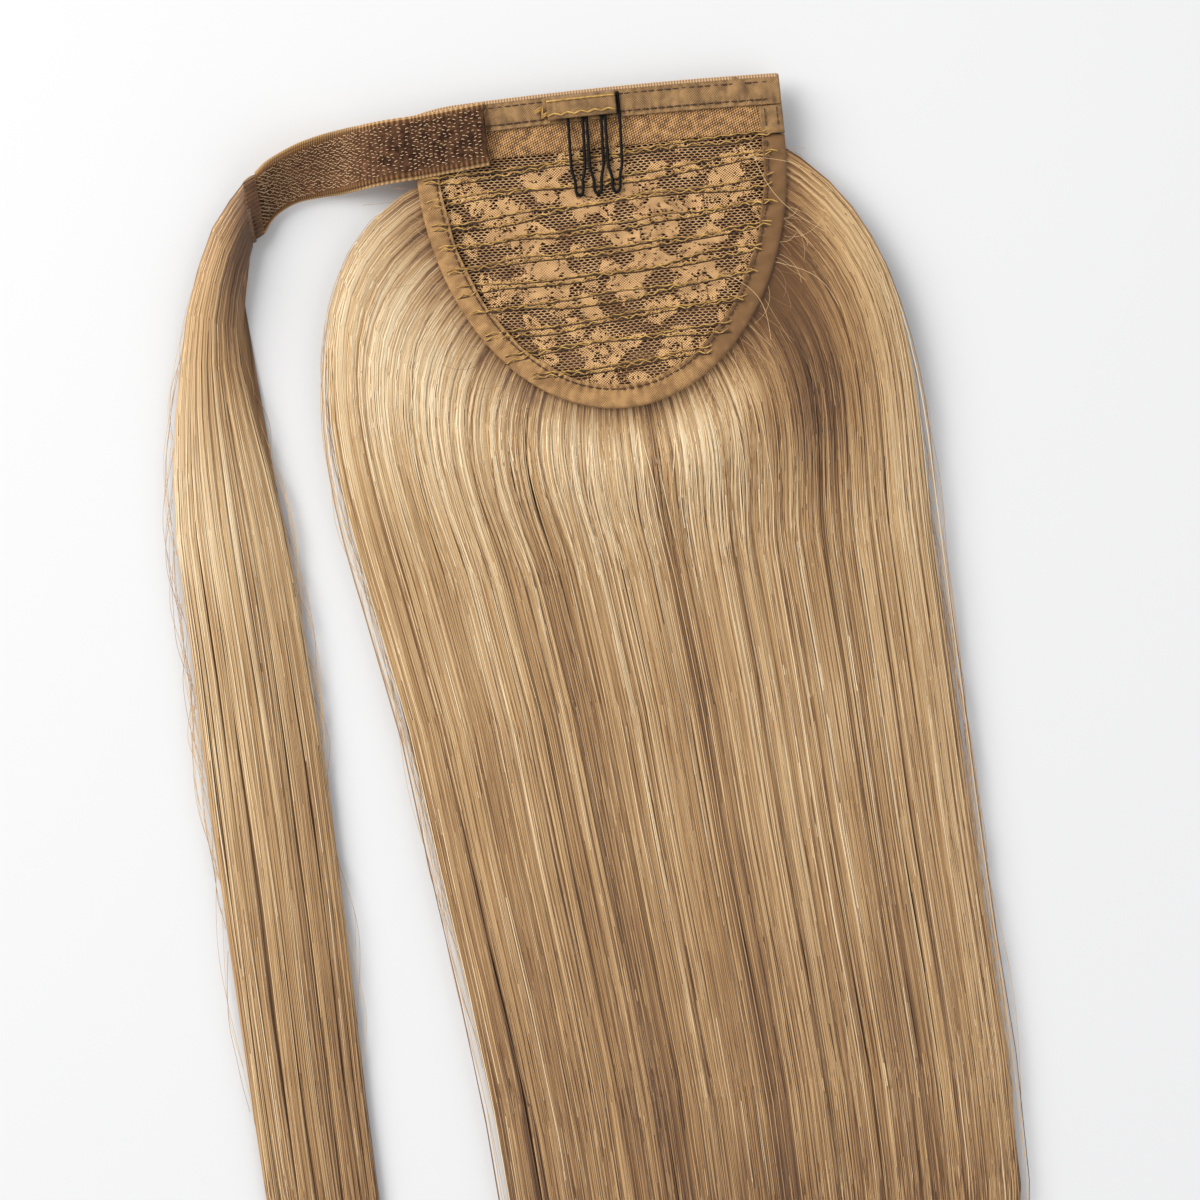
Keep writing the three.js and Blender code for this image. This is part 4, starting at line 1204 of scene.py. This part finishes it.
def comb_route():
    """The wire's corners: down one leg, round the tip, up the other leg and on to the next."""
    route = [(COMB_FIRST - TOOTH_WIDTH, WIRE_TOP)]
    for tooth in range(3):
        centre = COMB_FIRST + tooth * TOOTH_PITCH
        leg = [(TOOTH_WIDTH / 2, WIRE_SHOULDER)]
        leg += [(half * TOOTH_WIDTH / 2, SLEEVE_MOUTH + down * TOOTH_LENGTH)
                for down, half in TOOTH_BENDS]
        route += [(centre - half, depth) for half, depth in leg]
        route.append((centre, SLEEVE_MOUTH + TOOTH_LENGTH))
        route += [(centre + half, depth) for half, depth in reversed(leg)]
        if tooth < 2:
            route.append((centre + TOOTH_PITCH / 2, WIRE_TOP))
    route.append((COMB_LAST + TOOTH_WIDTH / 2, 1.5 * MM))
    return np.array(route)


corner_x, corner_depth = comb_route().T
corner_run = run_along(corner_x, corner_depth)
even = np.linspace(0, corner_run[-1], 900)
bent = np.stack([np.interp(even, corner_run, corner_x), np.interp(even, corner_run, corner_depth)], -1)
for _ in range(EASING):
    bent[1:-1] = (bent[:-2] + 2 * bent[1:-1] + bent[2:]) / 4
wire_finish = Finish("comb_wire", 0.5, Specular_IOR_Level=0.12)
wire_finish.color(linear(14, 12, 12))
comb_line = wire_at(bent[::2, 0], bent[::2, 1])[None]
sewn(threads("comb_wire", comb_line, COAT * WIRE, wire_finish, sides=12), "comb")

# %% [markdown]
# ## The comb's hood
# The hood sewn over the comb's upper end is a puffed scrap of the same tape. Its outline runs
# round its section once. Two rows of thread hold it, one plain and one zigzag, and a knot of the
# same thread lies at its left end.

# %% Hood
HOOD_LEFT = COMB_FIRST - TOOTH_WIDTH / 2 - 6.2 * MM
HOOD_RIGHT = COMB_LAST + TOOTH_WIDTH / 2 - 0.9 * MM
HOOD_OUTLINE = [(1.2, 1.8), (2.0, 1.8), (2.0, 2.85), (8.3, 2.85), (8.6, 3.1), (8.5, 3.5),
                (7.6, 3.75), (6.4, 3.95), (4.6, 4.05), (3.0, 3.9), (1.8, 3.4), (1.2, 2.6)]
HOOD_TOP, HOOD_CROWN, HOOD_GIRTH = 3 * MM, 4.15 * MM, 0.27 * MM
HOOD_PUFF, HOOD_PUCKER = 0.35 * MM, 0.12 * MM
HOOD_ROWS = ((7.2 * MM, 0.35 * MM), (2.9 * MM, 0.0))  # depth and swing of each row of thread
hood_depth, hood_up = np.array(HOOD_OUTLINE).T * MM
hood_x = np.linspace(HOOD_LEFT, HOOD_RIGHT, 60)
hood_puff = HOOD_PUFF * np.sin(np.pi * np.linspace(0, 1, 60))
hood_puff = hood_puff + HOOD_PUCKER * puckers(hood_x - hood_x[0], 61)
hood_y = top_edge(hood_x[:, None]) - hood_depth
hood_z = cap_height(hood_y) + hood_up + hood_puff[:, None] * (hood_up > HOOD_TOP)
hood_rings = joined(hood_x[:, None], hood_y, hood_z)
sewn(loft("comb_hood", hood_rings, band_finish, length=hood_x[:, None]), "comb_sleeve")

hood_crown = HOOD_CROWN + 0.9 * hood_puff
hood_rows = [dashes(hood_x, top_edge(hood_x) - depth, cap_height(-depth) + hood_crown, 2.1 * MM, 0.95,
                    zigzag) for depth, zigzag in HOOD_ROWS]
knot = dashes(HOOD_LEFT + np.linspace(-3, 2, 20) * MM, -np.linspace(5, 9, 20) * MM,
              cap_height(-7 * MM) + 2.2 * MM, 1.3 * MM, 1.0, 1.2 * MM, 0.9 * MM)
hood_lines = np.concatenate(hood_rows + [knot, knot[:, ::-1] + [0, 0.6 * MM, 0.2 * MM]])
sewn(threads("hood_stitches", hood_lines, HOOD_GIRTH, thread_finish, sides=5), "comb_sleeve")

# %% [markdown]
# ## The strap
# A ribbon leaves the base at the left, leans on its lower edge as it turns, and ends at the wrap
# strand. Hook tape is sewn on it. The short table follows the strap outwards: how far out, how
# far down, how high, whether it lies on the base, and how it tilts and turns.

# %% The strap's table
TAPE_WIDTH, RIBBON_WIDTH = 18 * MM, 19.4 * MM
STRAP_OVERLAP, STRAP_REACH, STRAP_TURN, STRAP_DEPTH = 23 * MM, 49.5 * MM, 13.3 * MM, 10.6 * MM
STRAP_COLUMNS = ("out", "turn", "lift", "seat", "bank", "skew")
STRAP_ROWS = [
    (-1, 0, 1, 1, 0, 0), (-0.37, 0.105, 1, 1, 0, 0), (0.085, 0.17, 1, 1, 0, 0),
    (0.34, 0.21, 0.68, 0, 2, 3), (0.468, 0.245, 0.36, 0, 13, 5), (0.594, 0.29, 0.16, 0, 25, 6),
    (0.723, 0.38, 0.1, 0, 34, 6), (0.823, 0.515, 0.1, 0, 37, 5), (0.924, 0.722, 0.13, 0, 35, 2),
    (1, 1, 0.2, 0, 24, -1)]
STRAP_TABLE = dict(zip(STRAP_COLUMNS, np.array(STRAP_ROWS, float).T))
STRAP_LAST = len(STRAP_ROWS) - 1
STRAP_STATIONS = 200
STRAP_SPOTS = np.array([-1, -0.995, -0.97, -0.9, -0.82, -0.6, -0.3, 0,
                        0.3, 0.6, 0.82, 0.9, 0.97, 0.995, 1])
RUFFLE_WAVES = 7.5


def strap_at(station, across, up):
    """Points of the strap. station counts rows of the table, across runs over its width."""
    keys = np.arange(len(STRAP_ROWS))
    row = {name: through(station, keys, column) for name, column in STRAP_TABLE.items()}
    seat = np.interp(station, keys, STRAP_TABLE["seat"])
    span = np.where(row["out"] < 0, STRAP_OVERLAP, STRAP_REACH)
    bank, skew = np.radians(row["bank"]), np.radians(row["skew"])
    flat = across * np.cos(bank) - up * np.sin(bank)
    x = -HALF_WIDTH - row["out"] * span + flat * np.sin(skew)
    y = -STRAP_DEPTH - row["turn"] * STRAP_TURN + flat * np.cos(skew)
    seated = cap_height(y) + TAPE_THICK / 2 + GAP + up
    rest = 0.6 * MM + RIBBON_WIDTH / 2 * np.sin(np.abs(bank)) + row["lift"] * cap_height(-STRAP_DEPTH)
    free = rest + across * np.sin(bank) + up * np.cos(bank)
    return joined(x, y, mix(free, seated, seat))


def strap_layer(name, width, low, thick, finish, ruffle=0.0):
    """One cloth of the strap, with soft edges, and small ruffles along them if asked."""
    across = STRAP_SPOTS * width / 2
    soft = np.minimum(1, np.sqrt(np.clip((1 - np.abs(STRAP_SPOTS)) / 0.03, 0.05, 1)))
    edge = np.clip((np.abs(STRAP_SPOTS) - 0.8) / 0.15, 0, 1)
    station = np.linspace(0, STRAP_LAST, STRAP_STATIONS)[:, None]
    fold = ruffle * np.sin(station * 2 * math.pi * RUFFLE_WAVES) * edge
    middle = low + thick / 2
    upper = strap_at(station, across, middle + soft * thick / 2 + fold)
    under = strap_at(station, across, middle - soft * thick / 2)
    # Painted shade at both ends of the strap; its middle, which faces the light, stays brightest.
    dark = np.maximum(smooth((station - 6.6) / 1.8), 1 - smooth((station - 1.8) / 1.8))
    rings = np.concatenate([upper, under[:, ::-1]], axis=1)
    return loft(name, rings, finish, rib=station, fade=dark, edge=np.concatenate([edge, edge[::-1]]))


# %% Ribbon
RIB_PITCH = 1 / 9.2
RIBBON_SEWN = RIBBON_WIDTH + 0.6 * MM
RIBBON_THICK = 0.8 * MM
ribbon_finish = Finish("ribbon", 0.8, Sheen_Weight=0.2)
ribbon_rib = ribbon_finish.own("rib").wave(RIB_PITCH)
ribbon_finish.color(ribbon_finish.ramp(
    ribbon_rib * 0.3 + 0.5, (0.2, linear(150, 110, 66)), (0.8, linear(206, 164, 108))))
ribbon_finish.bump(ribbon_rib, 0.5, 0.2 * MM)
ribbon_piece = strap_layer("ribbon", RIBBON_SEWN, 0, RIBBON_THICK, ribbon_finish)
sewn(ribbon_piece, "strap_backing")

# %% The cloth of the hook tape
CLOTH_LOW, CLOTH_THICK, RUFFLE = RIBBON_THICK + GAP, 1.0 * MM, 0.1 * MM
tape_finish = Finish("hook_cloth", 0.85, Specular_IOR_Level=0.1)
tape_rib = tape_finish.own("rib").wave(RIB_PITCH)
tape_cloud = tape_finish.noise(tape_finish.place(), 500.0, 3.0)
# Painted shade from the strap's ends darkens the cloth and its edges.
tape_shade = (tape_cloud * 0.9 + 0.1 - tape_finish.own("fade") * 0.24).held()
tape_dark = tape_finish.ramp(tape_shade, (0.2, linear(50, 30, 20)), (0.72, linear(114, 79, 55)))
tape_light = tape_finish.ramp(tape_rib * 0.4 + 0.5 - tape_finish.own("fade") * 0.2,
                              (0.2, linear(84, 56, 36)), (0.8, linear(154, 114, 74)))
tape_finish.color(tape_finish.blend(tape_finish.own("edge").held(), tape_dark, tape_light))
tape_finish.bump(tape_rib * tape_finish.own("edge") * 0.5 + tape_cloud, 0.5, 0.2 * MM)
hook_cloth = strap_layer("hook_cloth", TAPE_WIDTH, CLOTH_LOW, CLOTH_THICK, tape_finish, RUFFLE)
sewn(hook_cloth, "hook_tape")

# %% [markdown]
# ## Hooks by instances
# Hook tape carries hundreds of small stiff hooks in rows. One hook is made once, as a short arc
# with a thin round section, and the tree sets it on every point of a grid, turned to stand on
# the tape, with a random turn and size. Realizing the instances makes one plain mesh.

# %% The tree that sets hooks on points
HOOK_SWEEP, HOOK_LEAN, HOOK_SPIN = math.radians(230), 0.35, 0.5


def hook_recipe():
    recipe = Recipe("hooks_on_points", Geometry="Geometry", Height="Float", Wire="Float",
                    Seed="Int", Material="Material")
    given = recipe.given
    arc = recipe.node("GeometryNodeCurveArc", {
        "Resolution": 5, "Sweep Angle": HOOK_SWEEP, "Radius": given["Height"]})
    upright = recipe.node("GeometryNodeTransform", {
        "Geometry": arc, "Rotation": (math.radians(90), 0, 0)})
    ring = recipe.node("GeometryNodeCurvePrimitiveCircle", {
        "Resolution": 4, "Radius": given["Wire"]})
    hook = recipe.node("GeometryNodeCurveToMesh", {
        "Curve": upright, "Profile Curve": ring, "Fill Caps": True})
    facing = recipe.node("GeometryNodeInputNamedAttribute", {"Name": "up"}, data_type="FLOAT_VECTOR")
    align = recipe.node("FunctionNodeAlignRotationToVector", {"Vector": facing}, axis="Z")
    spin = recipe.node("FunctionNodeRandomValue", {
        "Min": (-HOOK_LEAN, -HOOK_LEAN, -HOOK_SPIN), "Max": (HOOK_LEAN, HOOK_LEAN, HOOK_SPIN),
        "Seed": given["Seed"]}, out="Value", data_type="FLOAT_VECTOR")
    turned = recipe.node("FunctionNodeRotateRotation", {
        "Rotation": align, "Rotate By": spin}, rotation_space="LOCAL")
    size = recipe.node("FunctionNodeRandomValue", {
        "Min": 0.7, "Max": 1.1, "Seed": given["Seed"]}, out=1, data_type="FLOAT")
    points = recipe.node("GeometryNodeMeshToPoints", {"Mesh": given["Geometry"]})
    return recipe.close(recipe.node("GeometryNodeInstanceOnPoints", {
        "Points": points, "Instance": hook, "Rotation": turned, "Scale": size}))


# %% The hooks
HOOK_ROWS, HOOK_COLUMNS = 72, 13
HOOK_HEIGHT, HOOK_WIRE = 0.44 * MM, 0.11 * MM
HOOK_FOOT = 2.05 * MM
hook_random = np.random.default_rng(64)
hook_station, hook_across = np.meshgrid(
    np.linspace(0.12, STRAP_LAST - 0.05, HOOK_ROWS),
    np.linspace(-0.4, 0.4, HOOK_COLUMNS) * TAPE_WIDTH, indexing="ij")
hook_across = hook_across + (np.arange(HOOK_ROWS) % 2)[:, None] * 0.5 * MM
hook_across = hook_across + hook_random.normal(0, 0.14, hook_across.shape) * MM
hook_station = hook_station + hook_random.normal(0, 0.018, hook_station.shape)
hook_base = strap_at(hook_station, hook_across, HOOK_FOOT).reshape(-1, 3)
hook_up = strap_at(hook_station, hook_across, HOOK_FOOT + 1 * MM).reshape(-1, 3) - hook_base
hook_up = hook_up / np.linalg.norm(hook_up, axis=1)[:, None]
hook_mesh = bpy.data.meshes.new("hooks")
hook_mesh.from_pydata(placed(hook_base).tolist(), [], [])
hook_layer = hook_mesh.attributes.new("up", "FLOAT_VECTOR", "POINT")
hook_layer.data.foreach_set("vector", hook_up.reshape(-1).copy())
hook_piece = put("hooks", hook_mesh)
hook_finish = Finish("hooks", 0.6, Specular_IOR_Level=0.3)
# Painted shade: the hooks get darker towards the strap's left end, whose face turns away from the
# light.
hook_shade_across = hook_finish.axis(hook_finish.node("TexCoord", out="Object"), "X")
hook_finish.color(hook_finish.ramp(
    (hook_shade_across * 14.0 + 1.6).held(), (0.1, linear(98, 70, 48)), (0.8, linear(226, 192, 148))))
grown(hook_piece, hook_recipe(), Height=HOOK_HEIGHT, Wire=HOOK_WIRE, Seed=7,
      Material=hook_finish.material)
print("hooks: %d, %d triangles" % (len(hook_base), triangles(hook_piece)))
sewn(hook_piece, "hook_tape")

# %% [markdown]
# ## The seam and the wrap strand
# At the strap's end the strand's hair is sewn into a short dark seam. From there the hair turns
# downwards, gathers and then spreads out again. Its table gives the share of its fall, its side
# shift and width, the turn of its cross line in degrees and the lowest and highest hair.

# %% Seam at the strap's end
WEFT_START, WEFT_LENGTH, WEFT_THICK = 0.45 * MM, 3.4 * MM, 3.4 * MM
WEFT_MIDDLE, WEFT_DRIFT = 1.15 * MM, 0.5
SEAM_LOOPS, LOOP_GIRTH = 15, 0.2 * MM


def beyond_strap(across, up, beyond):
    """Points past the strap's end, drifting down a little as they go."""
    station = np.full(np.broadcast(across, up, beyond).shape, float(STRAP_LAST))
    return strap_at(station, across, up) + joined(-beyond, -beyond * WEFT_DRIFT, 0 * beyond)


def rounded_box(wave, power):
    return np.sign(wave) * np.abs(wave) ** power


seam_angle = np.linspace(0, 2 * np.pi, 28, endpoint=False)
seam_swell = 0.97 + 0.04 * np.sin(np.linspace(0, np.pi, 12))[:, None]
seam_across = rounded_box(np.cos(seam_angle), 0.45) * RIBBON_WIDTH / 2
seam_up = WEFT_MIDDLE + rounded_box(np.sin(seam_angle), 0.7) * WEFT_THICK / 2
seam_out = np.linspace(WEFT_START - 0.6 * MM, WEFT_START + WEFT_LENGTH, 12)[:, None]
seam_rings = beyond_strap(seam_across * seam_swell, seam_up * seam_swell, seam_out)
seam_finish = woven("seam_cloth", 0.8, linear(92, 62, 42), linear(150, 108, 72), 0.7 * MM)
sewn(loft("seam_cloth", seam_rings, seam_finish), "wrap_weft")
loop_across = np.linspace(-0.47, 0.47, SEAM_LOOPS)[:, None]
loop = np.linspace(0, 1, 7)
loops = beyond_strap((loop_across + 0.012 * loop) * RIBBON_WIDTH,
                     (3.0 + 0.22 * np.sin(np.pi * loop)) * MM, WEFT_START + (-0.5 + 3.9 * loop) * MM)
sewn(threads("seam_stitches", loops, LOOP_GIRTH, tape_thread, sides=5), "wrap_weft")

# %% Route and core of the wrap strand
WRAP_WIDTH, WRAP_HEIGHT, WRAP_FALL = 32 * MM, 11 * MM, 352 * MM
WRAP_COLUMNS = ("down", "side", "spread", "turn", "low", "high")
WRAP_ROWS = [
    (0.004, -0.13, 0.62, 88, 0.2, 0.85), (0.02, -0.27, 0.6, 74, 0.12, 0.98),
    (0.05, -0.43, 0.5, 52, 0, 1), (0.085, -0.56, 0.46, 30, 0, 0.95),
    (0.125, -0.63, 0.52, 12, 0, 0.86), (0.175, -0.66, 0.68, 3, 0, 0.78),
    (0.25, -0.65, 0.9, 0, 0, 0.72), (0.4, -0.57, 1, 0, 0, 0.66), (0.6, -0.5, 1.02, 0, 0, 0.58),
    (0.8, -0.46, 0.98, 0, 0, 0.5), (0.94, -0.4, 0.9, 0, 0, 0.36), (1, -0.37, 0.66, 0, 0, 0.14)]
WRAP_TABLE = dict(zip(WRAP_COLUMNS, np.array(WRAP_ROWS, float).T))
WRAP_ROOT = beyond_strap(np.zeros(1), np.zeros(1), np.full(1, WEFT_START + WEFT_LENGTH + GAP))[0]


def wrap_at(share, along):
    """x, y, lowest and highest height of the wrap strand."""
    row = {name: through(along, WRAP_TABLE["down"], column) for name, column in WRAP_TABLE.items()}
    turn = np.radians(row["turn"])
    span = (share - 0.5) * row["spread"] * WRAP_WIDTH * mix(0.95, 1.12, smooth(along / 0.1))
    x = WRAP_ROOT[0] + (row["side"] - WRAP_ROWS[0][1]) * WRAP_WIDTH + span * np.cos(turn)
    x = x + np.maximum(-along, 0) * WRAP_FALL
    y = WRAP_ROOT[1] - np.maximum(along, 0) * WRAP_FALL - span * np.sin(turn)
    round_top = 0.55 + 0.45 * np.sin(np.pi * np.clip(share, 0, 1)) ** 0.7
    return x, y, row["low"] * WRAP_HEIGHT, row["high"] * WRAP_HEIGHT * round_top


core_share, core_along = np.meshgrid(np.linspace(0.03, 0.97, 40),
                                     np.linspace(0.0, 0.97, 60) ** 1.3, indexing="ij")
core_x, core_y, core_low, core_high = wrap_at(core_share, core_along)
core_top = np.maximum(core_high - 1.1 * MM, core_low + 0.5 * MM)
wrap_core = loft("wrap_core", slab(core_x, core_y, core_top, core_low + CORE_FLOOR), core_finish)
sewn(wrap_core, "wrap_strand")

# %% Strands of the wrap
WRAP_STRANDS, WRAP_POINTS = 1150, 19
WRAP_LOCKS = lock_places(72, 13)
WRAP_START = -0.004


def wrap_lines():
    random = np.random.default_rng(71)
    spread = np.linspace(0, 1, WRAP_POINTS) ** 1.8
    share = (np.arange(WRAP_STRANDS) + random.uniform(0, 1, WRAP_STRANDS)) / WRAP_STRANDS
    lock, lock_off = nearest(share, WRAP_LOCKS)
    reach = 1 - 0.07 * random.uniform(0, 1, WRAP_STRANDS) ** 2
    along = WRAP_START + (reach[:, None] - WRAP_START) * spread[None, :]
    gate = smooth(along / 0.15)
    lock_wave = wander(random, len(WRAP_LOCKS), spread, 1.0)[lock] * 0.007
    own_wave = wander(random, WRAP_STRANDS, spread, 0.5) * 0.005
    shift = lock_wave + own_wave - 0.12 * lock_off[:, None] / len(WRAP_LOCKS)
    x, y, low, high = wrap_at(share[:, None] + shift * gate, along)
    sink = random.uniform(0, 1, WRAP_STRANDS)[:, None] ** 1.6
    relief = (0.3 - 1.1 * lock_off[:, None] ** 2) * MM * gate
    z = np.maximum(high - sink * 0.4 * (high - low) + relief, STRAND_LOWEST)
    # Deeper strands get a darker tint: painted shade inside the strand.
    tint = strand_tints(random, WRAP_STRANDS, WRAP_TINT) - sink[:, 0] * 0.2
    # Painted shade darkens the strand towards its right side, away from the light.
    tint = shaded(tint + 0.1 - 0.16 * share, along * 0.8, lock_off)
    # This takes back part of the painted highlight near the root.
    tint = tint - 0.2 * bell(along, 0.1, 0.1)
    # Painted shade on the right side of the root, where the hair turns.
    tint = tint - 0.35 * bell(share[:, None], 0.85, 0.2) * (1 - smooth(along / 0.2))
    # Painted shadow darkens the roots beside the seam, most on the right.
    tint = tint - 0.45 * np.exp(-np.maximum(along, 0) / 0.03) * (0.4 + 0.6 * share[:, None])
    return joined(x, y, z), along, np.clip(tint, 0.02, 1)


lines, along, tint = wrap_lines()
wrap_piece = threads("wrap_strands", lines, strand_girth(along), hair_finish, tint=tint)
sewn(wrap_piece, "wrap_strand")

# %% [markdown]
# ## Loose hairs
# A few hairs always leave the rest: along both sides of the fall, beside the wrap strand and
# across the lace. They are what tells the eye that this is hair and not cloth. They start inside
# the hair and swing out by a few millimetres.

# %% Hairs beside the fall
FLY_COUNT, FLY_POINTS, FLY_GIRTH = 110, 22, 0.09 * MM
fly_random = np.random.default_rng(81)
fly_spread = np.linspace(0, 1, FLY_POINTS)
fly_left = fly_random.uniform(0, 1, FLY_COUNT) < 0.5
fly_begin = fly_random.uniform(0.0, 0.6, FLY_COUNT)[:, None]
fly_length = fly_random.uniform(0.15, 0.4, FLY_COUNT)[:, None]
fly_along = np.minimum(fly_begin + fly_length * fly_spread, 0.99)
fly_swing = fly_random.uniform(0.3, 1.0, FLY_COUNT)[:, None] * 0.03 * np.sin(np.pi * fly_spread) ** 1.4
fly_swing = np.where(fly_left, -1, 1)[:, None] * fly_swing
fly_edge = np.where(fly_left, fly_random.uniform(-0.004, 0.03, FLY_COUNT),
                    fly_random.uniform(0.97, 1.004, FLY_COUNT))[:, None]
fly_x, fly_y = hair_plan(fly_edge + fly_swing, fly_along)
fly_z = hair_top(np.clip(fly_edge, 0.001, 0.999), fly_along) * 0.6 + 1.2 * MM
fly_x = fly_x + wander(fly_random, FLY_COUNT, fly_spread, 1.0) * 0.5 * MM
fly_tint = fly_random.uniform(0.3, 0.8, FLY_COUNT)[:, None]
fly_piece = threads("loose_hairs", joined(fly_x, fly_y, fly_z), FLY_GIRTH, hair_finish, tint=fly_tint)
sewn(fly_piece, "hair_fall")


# %% Short hairs that stand out of the rim
SHORT_HAIRS, SHORT_POINTS, SHORT_GIRTH = 80, 9, 0.06 * MM


def short_hair_lines():
    random = np.random.default_rng(91)
    left = random.uniform(0, 1, SHORT_HAIRS) < 0.35
    turn = np.where(left, random.uniform(2, 60, SHORT_HAIRS), random.uniform(110, 179, SHORT_HAIRS))
    root_x, root_y, away_x, away_y = rim(turn[:, None], 0.6 * MM)
    spread = np.linspace(0, 1, SHORT_POINTS)
    heading = np.arctan2(away_y, away_x) + random.normal(-0.25, 0.3, SHORT_HAIRS)[:, None]
    heading = heading + random.normal(-0.4, 0.8, SHORT_HAIRS)[:, None] * spread
    step = random.uniform(5, 19, SHORT_HAIRS)[:, None] * MM / SHORT_POINTS
    x = root_x + np.cumsum(step * np.cos(heading), axis=1)
    y = root_y + np.cumsum(step * np.sin(heading), axis=1)
    tint = random.uniform(0.15, 0.75, SHORT_HAIRS)[:, None]
    return joined(x, y, cap_height(root_y) + (3.5 * spread - 0.8) * MM), tint


lines, tint = short_hair_lines()
sewn(threads("short_hairs", lines, SHORT_GIRTH, hair_finish, tint=tint), "hair_fall")

# %% Hairs that cross the lace and the rim
STRAYS = [
    # start and end in mm from the base's middle line and upper edge, bow in mm
    (-42, 16, -34, 3, 2.0), (34, 62, 46, 84, 6.0), (40, 26, 70, 40, 7.0), (46, 22, 66, 52, -6.0),
    (50, 60, 68, 76, 5.0), (-52, 30, -38, 14, 3.0)]
STRAY_GIRTH, STRAY_TINT = 0.08 * MM, 0.75
from_x, from_depth, to_x, to_depth, bow_size = np.array(STRAYS).T[:, :, None]
bow = np.sin(np.pi * fly_spread)
stray_x = (mix(from_x, to_x, fly_spread) + bow_size * bow * 0.6) * MM
stray_y = -(mix(from_depth, to_depth, fly_spread) - bow_size * bow * 0.4) * MM
stray_lines = joined(stray_x, stray_y, cap_height(stray_y) + (2.3 + 0.8 * bow) * MM)
sewn(threads("stray_hairs", stray_lines, STRAY_GIRTH, hair_finish, tint=STRAY_TINT),
     "hair_fall")

# %% Hairs beside the wrap strand
LOOSE_HEIGHT = 3 * MM
fly_begin = fly_random.uniform(0.05, 0.7, FLY_COUNT)[:, None]
fly_along = np.minimum(fly_begin + 0.5 * fly_length * fly_spread, 0.99)
fly_edge = np.where(fly_left, -0.02, 1.0)[:, None]
fly_x, fly_y, _, _ = wrap_at(fly_edge + 3.5 * fly_swing, fly_along)
fly_x = fly_x + wander(fly_random, FLY_COUNT, fly_spread, 1.0) * 0.4 * MM
fly_lines = joined(fly_x, fly_y, LOOSE_HEIGHT)[:FLY_COUNT // 2]
fly_tint = fly_random.uniform(0.3, 0.8, len(fly_lines))[:, None]
fly_piece = threads("loose_wrap_hairs", fly_lines, FLY_GIRTH, hair_finish, tint=fly_tint)
sewn(fly_piece, "wrap_strand")

# %% [markdown]
# ## Count the pieces
# The dressed pieces and their triangles are counted and printed.

# %% Pieces and triangles
shown = [piece for piece in bpy.data.objects
         if piece.type == "MESH" and piece.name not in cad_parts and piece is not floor]
print("%d pieces, %d triangles in all" % (len(shown), sum(map(triangles, shown))))
